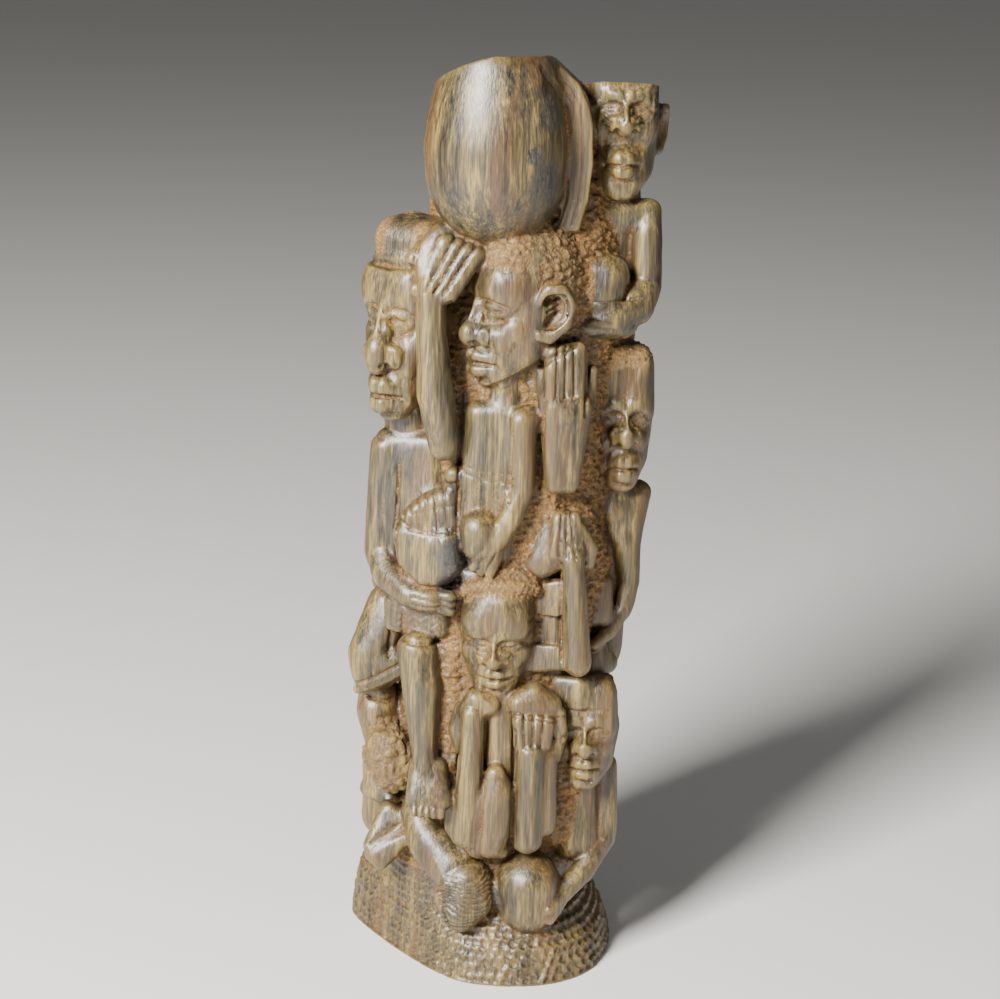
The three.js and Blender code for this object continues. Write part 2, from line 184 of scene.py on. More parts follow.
class Rough:
    """Closed forms that overlap, in millimetres."""

    def __init__(self, column):
        self.forms = bmesh.new()
        self.column = column

    def take(self, form):
        mesh = bpy.data.meshes.new("form")
        form.to_mesh(mesh)
        form.free()
        self.forms.from_mesh(mesh)
        bpy.data.meshes.remove(mesh)

    def lump(self, *balls, place=Matrix()):
        """The tight skin round a few balls (x, y, z, radius)."""
        form = bmesh.new()
        for x, y, z, radius in balls:
            spot = Matrix.Translation((x, y, z)) @ Matrix.Scale(radius * BALL_SWELL, 4)
            bmesh.ops.create_icosphere(
                form, subdivisions=BALL_ROUNDS, radius=1, matrix=self.column @ place @ spot)
        bmesh.ops.delete(form, geom=form.edges[:], context="EDGES_FACES")
        hull = bmesh.ops.convex_hull(form, input=form.verts[:])
        inner = [item for item in hull["geom_interior"] if isinstance(item, bmesh.types.BMVert)]
        bmesh.ops.delete(form, geom=inner, context="VERTS")
        self.take(form)

    def limb(self, *balls, place=Matrix()):
        """A chain of balls: each two neighbours share one skin."""
        for first, second in zip(balls, balls[1:]):
            self.lump(first, second, place=place)

    def both(self, *balls, place=Matrix()):
        """A lump and its mirror image across the drawing's middle."""
        for side in (1, -1):
            self.lump(*[(side * x, y, z, radius) for x, y, z, radius in balls], place=place)


# The skin that the forms grow into

def nearest_on_path(points, path):
    """Distance from points (x, z) to a path of (x, y, z), and the path's y beside each of them."""
    distance = np.full(len(points), np.inf)
    depth = np.zeros(len(points))
    for start, end in zip(path[:-1], path[1:]):
        a, b = start[[0, 2]], end[[0, 2]]
        run = b - a
        share = np.clip((points - a) @ run / max(run @ run, 1e-9), 0, 1)
        away = np.linalg.norm(points - a - share[:, None] * run, axis=1)
        closer = away < distance
        distance[closer] = away[closer]
        depth[closer] = (start[1] + share * (end[1] - start[1]))[closer]
    return distance, depth


# how far in y the skin may stand from the drawing of a groove, in millimetres
REACH, LONG_REACH, FAR_REACH = 7.0, 8.0, 9.0


def round_groove(near):
    return np.clip(1 - near**2, 0, 1) ** 2


def sharp_groove(near):
    return np.clip(1 - near, 0, 1)


class Skin:
    """The joined skin as arrays of points, normals and edges, in millimetres."""

    def __init__(self, mesh, column):
        self.mesh = mesh
        self.column = column
        self.points = np.empty(len(mesh.vertices) * 3)
        mesh.vertices.foreach_get("co", self.points)
        self.points = self.points.reshape(-1, 3)
        self.edges = np.empty(len(mesh.edges) * 2, dtype=np.int64)
        mesh.edges.foreach_get("vertices", self.edges)
        self.edges = self.edges.reshape(-1, 2)
        self.links = np.bincount(self.edges.ravel(), minlength=len(self.points))
        self.rough = np.zeros(len(self.points))
        self.worn = np.zeros(len(self.points))
        self.ground = np.zeros(len(self.points))
        self.refresh()

    def refresh(self):
        """Writes the points to the mesh, and reads its normals and its order by height again."""
        self.mesh.vertices.foreach_set("co", self.points.ravel())
        self.mesh.update()
        self.normals = np.empty(len(self.points) * 3)
        self.mesh.vertices.foreach_get("normal", self.normals)
        self.normals = self.normals.reshape(-1, 3)
        self.order = np.argsort(self.points[:, 2])
        self.heights = self.points[self.order, 2]

    def blurred(self, values, rounds, share=0.5):
        """Each value drawn towards its neighbours' mean, several times over."""
        first, second = self.edges.T
        size = len(self.points)
        values = values.copy()
        for _ in range(rounds):
            for axis in range(values.shape[1]):
                column = values[:, axis]
                total = np.bincount(first, column[second], size) + np.bincount(second, column[first], size)
                values[:, axis] += share * (total / self.links - column)
        return values

    def settle(self, rounds):
        self.points = self.blurred(self.points, rounds)
        self.refresh()

    def hollowness(self, rounds):
        """How far each point lies below its surroundings, in millimetres."""
        return np.einsum("ij,ij->i", self.blurred(self.points, rounds) - self.points, self.normals)

    def near(self, low, high):
        """The points between two heights."""
        start, end = np.searchsorted(self.heights, (low, high))
        return self.order[start:end]

    def local(self, chosen, place):
        """The chosen points in a drawing's own units."""
        back = np.array(place.inverted())
        return self.points[chosen] @ back[:3, :3].T + back[:3, 3]

    def cut(self, path, width, depth, place=Matrix(), reach=REACH, groove=round_groove, facing=0.1):
        """Cuts a groove along a path of (x, y, z) that is seen from the drawing's front.

        Width is the groove's half width. A negative depth raises a ridge. Reach is how far in y the
        surface may be from the path.
        """
        place = self.column @ place
        across, deep, unit = place.to_scale()
        path = np.array(path, dtype=float)
        if len(path) == 1:
            path = np.vstack([path, path + 1e-4])
        ends = [(place @ Vector(point)).z for point in path]
        slack = (width + reach * abs(place.col[1].z / deep)) * unit + 3
        chosen = self.near(min(ends) - slack, max(ends) + slack)
        forward = -np.array(place.col[1][:3]) / deep
        chosen = chosen[self.normals[chosen] @ forward > facing]
        spots = self.local(chosen, place)
        stretch = np.array([across / unit, deep / unit, 1])
        spots, path = spots * stretch, path * stretch
        low, high = path.min(axis=0) - width, path.max(axis=0) + width
        inside = (spots[:, 0] > low[0]) & (spots[:, 0] < high[0])
        inside &= (spots[:, 2] > low[2]) & (spots[:, 2] < high[2])
        chosen, spots = chosen[inside], spots[inside]
        if not len(chosen):
            return
        distance, middle = nearest_on_path(spots[:, [0, 2]], path)
        strength = groove(distance / width) * (np.abs(spots[:, 1] - middle) < reach)
        self.points[chosen] -= self.normals[chosen] * (strength * depth * unit)[:, None]

    def slit(self, path, width, depth, **options):
        """A groove with a sharp bottom."""
        self.cut(path, width, depth, groove=sharp_groove, **options)

    def gap(self, path, width, depth):
        """A round groove beside a limb, where the skin may stand far from the drawing."""
        self.cut(path, width, depth, reach=FAR_REACH)

    def gaps(self, paths, width, depth):
        for path in paths:
            self.gap(path, width, depth)

    def region(self, *balls, place=Matrix(), soft=0.15):
        """The points in a few balls, with a weight that fades from 1 to 0 over a soft share outside them."""
        place = self.column @ place
        heights = [(place @ Vector((x, y, z))).z for x, y, z, _ in balls]
        size = max(ball[3] for ball in balls) * max(place.to_scale()) * (1 + soft)
        chosen = self.near(min(heights) - size, max(heights) + size)
        spots = self.local(chosen, place)
        weight = np.zeros(len(chosen))
        for x, y, z, radius in balls:
            away = np.linalg.norm(spots - (x, y, z), axis=1) / radius
            weight = np.maximum(weight, np.clip((1 + soft - away) / soft, 0, 1))
        some = weight > 0
        return chosen[some], weight[some]

    def texture(self, chosen, weight, relief):
        """Moves points along their normals by a function of their place."""
        lift = np.array([relief(Vector(point)) for point in self.points[chosen]])
        self.points[chosen] += self.normals[chosen] * (lift * weight)[:, None]

    def paint(self, chosen, weight):
        """Marks chipped wood, which takes no wax."""
        self.rough[chosen] = np.maximum(self.rough[chosen], weight)

    def darken(self, chosen, weight):
        """Marks worn dark patches."""
        self.worn[chosen] = np.maximum(self.worn[chosen], weight)


# Relief of the tools

def scaled(point, x, y, z):
    return Vector((point.x / x, point.y / y, point.z / z))


def crumbs(size, depth, warp=0.5):
    """Small chipped curls, as in short hair."""
    def relief(point):
        moved = point + noise.noise_vector(point / size * 0.6) * size * warp
        near, next_near = noise.voronoi(moved / size)[0][:2]
        return depth * (min(next_near - near, 0.5) * 2 - 0.6)
    return relief


def dots(size, depth):
    """Stippled pits."""
    def relief(point):
        near = noise.voronoi(point / size)[0][0]
        return depth * (min(near * 1.6, 1) - 1)
    return relief


def chips(size, depth):
    """Short level cuts of a small gouge, as in the recesses."""
    def relief(point):
        return depth * noise.fractal(scaled(point, size * 1.6, size * 1.6, size), 0.9, 2.0, 3)
    return relief


def combed(pitch, depth):
    """Level wavy lines."""
    def relief(point):
        sway = noise.noise(point / 9) * 3 + noise.noise(point / 3) * 0.8
        return depth * (abs(sin((point.z + sway) * pi / pitch)) - 0.6)
    return relief


def woven(pitch, depth):
    """Crossing slanted cuts."""
    def relief(point):
        first = abs(sin((point.x * 0.8 + point.z * 1.1 + noise.noise(point / 4)) * pi / pitch))
        second = abs(sin((point.x * 1.1 - point.z * 0.5 + noise.noise(point / 5)) * pi / pitch))
        return depth * (min(first, second) - 0.6)
    return relief


# Heads
# A head is drawn one unit high about its middle, with the face towards -y.

HEAD_WIDTH_UNITS = 0.72

ROUND_SKULL = ((0, 0.04, 0.15, 0.35), (-0.12, -0.11, 0.12, 0.21), (0.12, -0.11, 0.12, 0.21))
LOW_SKULL = ((0, 0.05, 0.1, 0.34), (-0.15, -0.1, 0.13, 0.2), (0.15, -0.1, 0.13, 0.2))
SQUARE_SKULL = (
    (0, 0.08, 0.12, 0.34), (-0.17, -0.1, 0.29, 0.16), (0.17, -0.1, 0.29, 0.16),
    (-0.17, -0.1, 0.05, 0.18), (0.17, -0.1, 0.05, 0.18),
)
HAIR = ((0, 0.1, 0.17, 0.355), (-0.1, -0.07, 0.27, 0.21), (0.1, -0.07, 0.27, 0.21), (0, 0.14, 0.1, 0.345))


class Look(NamedTuple):
    """Heights of a face's features above the middle of its head, and how broad they are."""

    brow: float = 0.06
    eyes: float = -0.02
    nose: float = -0.2
    mouth: float = -0.34
    chin: float = -0.41
    nose_width: float = 1.0
    lips: float = 1.0
    skull: tuple = ROUND_SKULL


def head_place(at, height, width, depth, yaw=0, pitch=0):
    turn = Matrix.Rotation(radians(yaw), 4, "Z") @ Matrix.Rotation(radians(pitch), 4, "X")
    return Matrix.Translation(at) @ turn @ Matrix.Diagonal((width / HEAD_WIDTH_UNITS, depth, height, 1))


def face(rough, place, look):
    """Skull, jaw, brows, eyes, nose and lips."""
    brow, eyes, nose, mouth, chin = look.brow, look.eyes, look.nose, look.mouth, look.chin
    wide, lips = look.nose_width, look.lips
    rough.lump(*look.skull, place=place)
    rough.lump(
        (-0.18, 0.02, 0, 0.19), (0.18, 0.02, 0, 0.19),
        (-0.17, -0.04, -0.24, 0.15), (0.17, -0.04, -0.24, 0.15),
        (-0.07, -0.17, chin + 0.05, 0.13), (0.07, -0.17, chin + 0.05, 0.13), place=place)
    # brows and the lids under them
    brows = (0.05, -0.27, brow, 0.045), (0.15, -0.245, brow + 0.01, 0.055), (0.25, -0.13, brow - 0.015, 0.06)
    rough.both(*brows, place=place)
    rough.both((0.1, -0.225, eyes, 0.065), (0.19, -0.19, eyes, 0.065), place=place)
    # nose, with its tip and wings
    rough.lump((0, -0.25, brow - 0.03, 0.045 * wide), (0, -0.325, nose + 0.08, 0.06 * wide), place=place)
    rough.lump((0, -0.36, nose + 0.06, 0.064 * wide), (0, -0.25, nose + 0.04, 0.07), place=place)
    rough.both((0.085 * wide, -0.3, nose + 0.05, 0.06), (0.02, -0.32, nose + 0.055, 0.06), place=place)
    # cheeks
    rough.both((0.21, -0.12, eyes - 0.12, 0.11), (0.16, -0.18, nose + 0.01, 0.1), place=place)
    rough.lump(
        (-0.14, -0.19, nose + 0.04, 0.1), (0.14, -0.19, nose + 0.04, 0.1), (0, -0.22, eyes - 0.06, 0.08),
        place=place)
    # lips on a swollen mouth, and the chin
    swell = mouth + 0.02
    rough.lump((-0.12, -0.18, swell, 0.11), (0, -0.22, swell, 0.12), (0.12, -0.18, swell, 0.11), place=place)
    rough.both((0.14, -0.25, mouth + 0.012, 0.03), (0.04, -0.325, mouth + 0.035, 0.045 * lips), place=place)
    rough.both((0.125, -0.25, mouth - 0.028, 0.032), (0.03, -0.32, mouth - 0.045, 0.05 * lips), place=place)
    rough.lump((-0.05, -0.22, chin, 0.08), (0.05, -0.22, chin, 0.08), place=place)


USUAL_SLIMNESS = 0.57
FACE_REACH, FACE_FACING = 0.17, 0.25  # keep a face's cuts off the limbs in front of it


def face_cuts(skin, place, look):
    """The sockets, lids, nostrils, lips and the creases beside them."""
    brow, eyes, nose, mouth = look.brow, look.eyes, look.nose, look.mouth
    across, _, high = place.to_scale()
    fine = min(1, across * HEAD_WIDTH_UNITS / high / USUAL_SLIMNESS)  # long heads have features no coarser

    def cut(path, width, depth, groove=round_groove):
        skin.cut(
            path, width * fine, depth * fine, place=place, groove=groove,
            reach=FACE_REACH, facing=FACE_FACING)

    for side in (1, -1):
        def path(*spots):
            return [(side * x, -0.28, z) for x, z in spots]
        socket = path((0.045, brow - 0.06), (0.11, brow - 0.052), (0.19, brow - 0.055), (0.26, brow - 0.085))
        cut(socket, 0.026, 0.022)
        cut(path((0.045, eyes - 0.01), (0.045, eyes - 0.05)), 0.035, 0.022)
        cut(path((0.06, eyes - 0.07), (0.13, eyes - 0.085), (0.22, eyes - 0.062)), 0.022, 0.014)
        slit = path((0.07, eyes - 0.012), (0.14, eyes - 0.022), (0.22, eyes - 0.006))
        cut(slit, 0.011, 0.014, sharp_groove)
        cut(path((0.06 * look.nose_width, nose + 0.004)), 0.028, 0.04)
        cut(path((0.14, nose + 0.075), (0.165, nose + 0.02), (0.175, mouth + 0.05)), 0.02, 0.014)
        cut(path((0.18, mouth + 0.035), (0.19, mouth - 0.045)), 0.024, 0.012)
    parting = [(-0.165, -0.3, mouth - 0.014), (-0.06, -0.3, mouth - 0.003), (0, -0.3, mouth - 0.01)]
    parting += [(-x, y, z) for x, y, z in parting[1::-1]]
    cut(parting, 0.018, 0.034, sharp_groove)
    cut([(-0.09, -0.3, mouth - 0.11), (0.09, -0.3, mouth - 0.11)], 0.028, 0.02)
    cut([(0, -0.3, nose - 0.03), (0, -0.3, nose - 0.055)], 0.016, 0.01)


EAR_RIM = (
    (0.35, -0.03, 0.05, 0.03), (0.4, 0.02, 0.13, 0.032), (0.44, 0.1, 0.12, 0.034), (0.45, 0.16, 0.03, 0.036),
    (0.43, 0.13, -0.08, 0.04), (0.37, 0.04, -0.16, 0.045), (0.34, -0.02, -0.15, 0.04),
)


def ear(rough, place, side=1, rise=0.0):
    """A rim round a hollow, on a thick root."""
    rim = [(side * x, y, z + rise, radius) for x, y, z, radius in EAR_RIM]
    rough.limb(*rim, place=place)
    rough.lump(*[(x * 0.86, y + 0.03, z, radius) for x, y, z, radius in rim], place=place)


# Hands

class Hand(NamedTuple):
    """A flat hand: the first and last finger's root and tip, each (x, y, z)."""

    roots: tuple
    tips: tuple
    radius: float
    fingers: int = 4


def hand(rough, it):
    corners = [*it.roots, *it.tips]
    rough.lump(*[(*corner, it.radius * 0.97) for corner in corners])
    for share in np.linspace(0, 1, it.fingers):
        root = Vector(it.roots[0]).lerp(Vector(it.roots[1]), share)
        tip = Vector(it.tips[0]).lerp(Vector(it.tips[1]), share)
        rough.lump((*root, it.radius), (*tip, it.radius * 0.9))


def hand_cuts(skin, it, width=0.75, depth=1.3, start=0.0):
    """Sharp cuts between the fingers."""
    for share in (np.arange(it.fingers - 1) + 0.5) / (it.fingers - 1):
        root = Vector(it.roots[0]).lerp(Vector(it.roots[1]), share)
        tip = Vector(it.tips[0]).lerp(Vector(it.tips[1]), share)
        tip += (tip - root).normalized() * it.radius
        skin.slit([root.lerp(tip, start), tip], width, depth, reach=FAR_REACH)


def along(line, share):
    """The point at a share of a line's corners."""
    spot = share * (len(line) - 1)
    start = min(int(spot), len(line) - 2)
    return Vector(line[start]).lerp(Vector(line[start + 1]), spot - start)


# Figures of the front
# Each has its forms in one function, and its cuts in another.

CORE_LINE = ((0, 1, 26, 1.04), (3, 2, 120, 1), (11, 3, 290, 1), (14, 4, 318, 0.8))
CORE_FLAT = 1.12


def core(rough):
    """The log left behind the figures, and the wood behind the pot."""
    oval = Matrix.Diagonal((CORE_FLAT, 1, 1, 1))
    radius = DRAWN_CORE_DIAMETER / 2
    rough.lump(*[(x, y, z, share * radius) for x, y, z, share in CORE_LINE], place=oval)
    rough.lump((30, -3, 364, 7), (36, -2, 318, 11), (18, 4, 336, 14))
    rough.lump((-21, -3, 322, 8), (-12, 2, 330, 12), (-16, 2, 290, 14))
    # ground between the figures, left higher than the log
    rough.lump((2, -26, 236, 9), (22, -25, 236, 8), (20, -25, 190, 9), (4, -27, 176, 8))
    rough.lump((-14, -24, 140, 9), (-14, -27, 96, 9), (-8, -27, 70, 10))
    rough.lump((32, -20, 200, 9), (40, -14, 176, 9), (32, -20, 150, 10))
    rough.lump((34, -22, 118, 8), (36, -20, 84, 9), (30, -22, 62, 11))


BEARER_HEAD = head_place((8, -25, 286), 67, 38, 62, yaw=-60, pitch=2)
BEARER_LOOK = Look(brow=0.105, eyes=0.0, nose=-0.215, mouth=-0.325, chin=-0.42, nose_width=1.2)
BALL_HAND = Hand(((-1, -41, 189), (5, -40, 190)), ((-7, -41, 180), (0, -40, 177)), 2.1, fingers=3)


def pot_bearer(rough):
    """The large head in half profile under the pot, with a ball in its hands."""
    face(rough, BEARER_HEAD, BEARER_LOOK)
    rough.lump(*HAIR, place=BEARER_HEAD)
    ear(rough, BEARER_HEAD)
    rough.lump((6, -26, 262, 8), (4, -27, 246, 9.5))
    # chest and waist
    rough.lump((-6, -31, 241, 6), (6, -31, 242, 7), (-7, -31, 214, 6), (5, -31, 214, 6.5))
    rough.lump((-7, -31, 214, 6.4), (5, -31, 214, 6.6), (-8, -29, 190, 8), (3, -29, 184, 8.5))
    # arm and the ball
    rough.limb((15, -33, 241, 6), (11, -36, 240, 6), (11.5, -37, 212, 5.2))
    rough.limb((11.5, -37, 212, 5.2), (7, -39, 200, 5), (-1, -41, 186, 3.8))
    rough.lump((-5, -38, 195, 8), (-5, -38, 188, 6.6))
    hand(rough, BALL_HAND)


def pot_bearer_cuts(skin):
    face_cuts(skin, BEARER_HEAD, BEARER_LOOK)
    ear_side = BEARER_HEAD @ Matrix.Rotation(radians(90), 4, "Z")
    hollow = [(0.02, -0.42, 0.06), (0.09, -0.44, 0.07), (0.1, -0.44, -0.02), (0.04, -0.42, -0.08)]
    skin.cut(hollow, 0.045, 0.035, place=ear_side, reach=0.25)
    for rib in range(3):
        z = 0.05 - rib * 0.04
        skin.cut([(0.02, -0.4, z - 0.02), (0.11, -0.4, z + 0.01)], 0.012, 0.018, place=ear_side, reach=0.3)
    # curls
    chosen, weight = skin.region(*HAIR, place=BEARER_HEAD, soft=0.06)
    skin.texture(chosen, weight, crumbs(3.0, 1.5, 0.3))
    skin.paint(chosen, weight * 0.75)
    # belt and the plaited waist under it
    for z in (219, 216):
        skin.slit([(-12, -38, z + 2), (-4, -38, z - 0.6), (8, -38, z - 1.6)], 0.7, 0.5)
    waist, weight = skin.region((-2, -34, 206, 10), soft=0.2)
    skin.texture(waist, weight, woven(2.1, 0.55))
    # the jaw's shadow, and the gaps beside the chest
    skin.gap([(-4, -34, 252), (6, -34, 257), (22, -34, 267), (30, -33, 272)], 2.2, 1.6)
    skin.gaps(([(-13.5, -36, 248), (-14, -36, 200)], [(6.6, -40, 236), (6.4, -40, 208)]), 1.0, 1.6)
    hand_cuts(skin, BALL_HAND, width=0.7, depth=0.9, start=0.2)
    skin.slit([(-3, -44, 189), (-8, -44, 183)], 0.6, 0.6)


RAISED_HAND = Hand(((-31, -37, 292), (-20, -39, 291)), ((-22, -36, 310), (-10, -36, 306)), 4.2)


def raised_arm(rough):
    """An arm raised beside the bearer's face, the hand laid along the pot."""
    rough.limb((-27, -37, 294, 6), (-26, -37, 272, 6.2), (-24, -37, 250, 7.4), (-20, -36, 229, 6.4))
    hand(rough, RAISED_HAND)
    rough.lump((-33, -34, 303, 4.4), (-24, -32, 313, 4.4), (-17, -31, 311, 4), (-28, -36, 296, 5))
    rough.lump((-16, -33, 216, 3.6), (-15, -30, 214, 5))


def raised_arm_cuts(skin):
    hand_cuts(skin, RAISED_HAND, width=0.9, depth=1.7)
    skin.gap([(-32, -36, 312), (-34, -36, 300), (-32, -38, 288)], 1.2, 1.0)
    skin.gap([(-19, -40, 288), (-19.5, -42, 272), (-18, -42, 262)], 1.2, 1.4)


JAW_HAND = Hand(((22, -38, 251), (33, -35, 251)), ((22, -37, 268), (32, -33, 269)), 3.5)


def jaw_arm(rough):
    """An arm that comes up under the bearer's jaw, with a squared elbow."""
    hand(rough, JAW_HAND)
    rough.lump((18, -33, 259, 3), (23, -36, 246, 6), (28, -36, 244, 7), (33, -33, 246, 5.6))
    rough.lump((38, -29, 260, 2.6), (37, -31, 247, 3))
    rough.lump((24, -36, 246, 6.6), (32, -35, 246, 6.6), (25, -36, 215, 4.6), (30, -35, 215, 4.6))


def jaw_arm_cuts(skin):
    hand_cuts(skin, JAW_HAND, width=0.8, depth=1.3)
    skin.gap([(36, -38, 264), (35.6, -38, 244)], 1.0, 1.4)
    skin.gap([(18.6, -36, 250), (19, -36, 212)], 1.3, 1.6)


BASKET_HEAD = head_place((-35.5, -13, 277), 83, 36, 56, yaw=-38)
BASKET_LOOK = Look(
    brow=0.11, eyes=0.015, nose=-0.22, mouth=-0.36, chin=-0.42, nose_width=1.6,
    lips=1.2, skull=LOW_SKULL)
CAP = (
    (-0.14, -0.1, 0.35, 0.12), (0.2, -0.07, 0.36, 0.11), (0.36, -0.04, 0.33, 0.1),
    (-0.1, 0.1, 0.33, 0.16), (0.2, 0.12, 0.34, 0.13),
)
LAP_HAND = Hand(((-32, -34, 167), (-31, -33, 161)), ((-16, -38, 166), (-16, -37, 160)), 2.9, fingers=3)
HEAP_TOP = ((-38, -33, 198), (-34, -34, 204), (-28, -34, 208), (-21, -34, 211), (-14, -32, 214))
HEAP_RIM = ((-38, -34, 197), (-33, -36, 193), (-27, -37, 192), (-20, -38, 192), (-13, -37, 193))
HEAP_RIBS = 7


def basket_holder(rough):
    """The long head on the left, with a full basket in its lap."""
    face(rough, BASKET_HEAD, BASKET_LOOK)
    rough.lump(*CAP, place=BASKET_HEAD)
    rough.lump((-36, -9, 240, 10), (-32, -2, 300, 13), (-30, -4, 210, 14))
    # chest, arm and hand
    rough.lump((-42, -12, 223, 7), (-25, -15, 223, 8.5), (-40, -14, 196, 8), (-24, -18, 196, 9))
    rough.lump((-40, -14, 196, 8), (-24, -17, 196, 9.6), (-30, -14, 168, 12))
    rough.limb((-44, -13, 221, 6.8), (-45.5, -14, 198, 6.4), (-45.5, -15, 178, 6.8))
    rough.limb((-45.5, -15, 178, 6.8), (-42, -22, 170, 6.8), (-33, -32, 165, 5.8), (-24, -36, 164, 5.4))
    hand(rough, LAP_HAND)
    # bowl and its heap
    rough.lump(
        (-34, -28, 189, 6.4), (-18, -32, 190, 6.4),
        (-31, -29, 179, 7), (-18, -32, 179, 7.6), (-25, -30, 172, 8))
    rough.lump(
        (-33, -29, 196, 4.6), (-27, -30, 201, 5.4), (-19, -30, 205, 6),
        (-15, -29, 208, 5), (-17, -32, 196, 4.6))


def basket_holder_cuts(skin):
    face_cuts(skin, BASKET_HEAD, BASKET_LOOK)
    chosen, weight = skin.region(*CAP, place=BASKET_HEAD, soft=0.12)
    skin.texture(chosen, weight, dots(2.0, 0.8))
    skin.paint(chosen, weight)
    cap_edge = [(-0.3, -0.2, 0.27), (0, -0.3, 0.26), (0.3, -0.2, 0.28)]
    skin.cut(cap_edge, 0.03, 0.03, place=BASKET_HEAD, reach=0.4)
    # the sunken right socket
    skin.cut([(0.1, -0.3, 0.0), (0.16, -0.3, -0.02)], 0.035, 0.025, place=BASKET_HEAD, reach=FACE_REACH)
    # rim and ribs of the heap
    skin.slit(HEAP_RIM, 0.8, 0.9, reach=LONG_REACH)
    skin.slit(HEAP_TOP, 0.8, 0.7, reach=LONG_REACH)
    for rib in range(1, HEAP_RIBS):
        share = rib / HEAP_RIBS
        line = [along(HEAP_TOP, share * 0.92), along(HEAP_RIM, share)]
        skin.slit(line, 0.7, 0.8, reach=LONG_REACH)
    skin.slit([(-33, -36, 199), (-24, -36, 202), (-16, -36, 204)], 0.6, 0.5, reach=LONG_REACH)
    # the inside of the arm, its fingers, and the worn side of the bowl
    inside = [(-38.5, -22, 216), (-39, -24, 186), (-38, -27, 177), (-30, -36, 170), (-16, -40, 169)]
    skin.gap(inside, 1.0, 1.6)
    hand_cuts(skin, LAP_HAND, width=0.7, depth=1.1)
    worn, weight = skin.region((-14, -34, 182, 8), (-16, -34, 172, 6), soft=0.3)
    skin.texture(worn, weight, crumbs(1.8, 0.5))
    skin.darken(worn, weight)


CLOTH_TOP, CLOTH_ROWS, CLOTH_PITCH = 159, 4, 3.0
FOOT = Hand(((-27, -44, 80), (-17, -44, 79)), ((-28, -47.5, 75), (-17, -47, 74)), 1.9, fingers=5)


def basket_holder_legs(rough):
    """A lap cloth, one knee out to the side and one leg down to a bare foot."""
    rough.lump((-43, -10, 153, 8), (-50, -14, 132, 8.6), (-40, -13, 148, 8))
    rough.lump((-50, -14, 132, 8.6), (-50, -15, 124, 7), (-38, -16, 130, 7))
    rough.lump((-54, -17, 117, 2.2), (-45, -19, 121, 2.2), (-34, -21, 128, 2.2), (-44, -13, 122, 6))
    rough.lump((-39, -23, 158, 4.6), (-20, -27, 158, 5.4), (-39, -24, 149, 3.6), (-20, -29, 149, 4))
    rough.lump((-29, -30, 140, 8.4), (-26, -33, 125, 8), (-25, -36, 101, 5.6))
    rough.lump((-25, -36, 101, 5.6), (-24, -38, 92, 5))
    rough.lump((-27, -38, 92, 3.6), (-19, -38, 92, 3.8), (-28, -43, 79, 4), (-16.5, -43, 78.5, 4))
    hand(rough, FOOT)


def basket_holder_legs_cuts(skin):
    # zigzag rows of the cloth, its slit and its hem
    for row in range(CLOTH_ROWS):
        z = CLOTH_TOP - row * CLOTH_PITCH
        zigzag = [(-40 + 2.4 * i, -30, z - (i % 2) * 2.6) for i in range(10)]
        skin.slit(zigzag, 0.6, 0.5, reach=FAR_REACH)
    skin.slit([(-35, -30, 155), (-35, -30, 146)], 0.9, 1.4, reach=FAR_REACH)
    skin.gap([(-41, -26, 145.5), (-20, -32, 144)], 1.1, 1.2)
    skin.gap([(-55, -18, 120.6), (-46, -20, 124.6), (-36, -22, 131)], 1.0, 1.2)
    skin.gap([(-40, -22, 146), (-41, -22, 134)], 1.4, 1.4)
    hand_cuts(skin, FOOT, width=0.7, depth=1.1, start=0.25)


HAIR_KNOBS = ((-44, -23, 98), (-37, -25, 98), (-40, -27, 91), (-46, -21, 88), (-34, -25, 86), (-41, -25, 80))


def crouching_figure(rough):
    """A figure at the lower left, bent down over its knees."""
    rough.limb((-46, -4, 113, 8), (-46, -6, 104, 9), (-41, -6, 90, 10), (-41, -3, 55, 11))
    rough.lump((-40, -20, 93, 9.6), (-38, -22, 83, 9.6), (-34, -20, 88, 9), (-45, -17, 88, 7))
    for curl in HAIR_KNOBS:
        rough.lump((*curl, 3.6))
    rough.lump((-47, -13, 70, 4), (-38, -17, 67, 3), (-47, -10, 80, 5))
    # a bent foot, wedge shaped
    rough.lump((-40, -21, 65, 3.4), (-33, -23, 61, 3.4), (-47, -27, 50, 3.2), (-41, -24, 54, 4))
    rough.lump((-46, -28, 47, 3.4), (-42, -29, 44, 3.4), (-33, -27, 54, 3.6), (-36, -22, 52, 6))


def crouching_figure_cuts(skin):
    head, weight = skin.region((-40, -20, 93, 12), (-38, -22, 83, 12), soft=0.15)
    skin.texture(head, weight, crumbs(4.4, 1.6))
    skin.paint(head, weight * 0.5)
    skin.gap([(-50, -12, 112), (-42, -18, 110), (-33, -20, 112)], 1.6, 1.4)
    skin.gap([(-47, -30, 52), (-40, -30, 56), (-34, -30, 61)], 0.9, 1.0)


def bowed_figure(rough):
    """A figure at the foot, its back up and its combed head down."""
    rough.lump((-27, -24, 66, 7), (-21, -30, 55, 10), (-11, -36, 46, 10.6))
    rough.lump((-26, -28, 64, 4), (-17, -40, 50, 4.4), (-12, -44, 42, 5))
    rough.lump((-6, -40, 41, 11), (-8, -46, 29, 7.2), (-3, -43, 34, 8.4), (-12, -42, 36, 7))


def bowed_figure_cuts(skin):
    head, weight = skin.region((-5, -42, 38, 12.6), (-8, -46, 29, 8), soft=0.12)
    skin.texture(head, weight, combed(2.0, 0.85))
    skin.gap([(-16, -44, 44), (-16, -46, 34), (-12, -48, 26)], 1.1, 1.2)


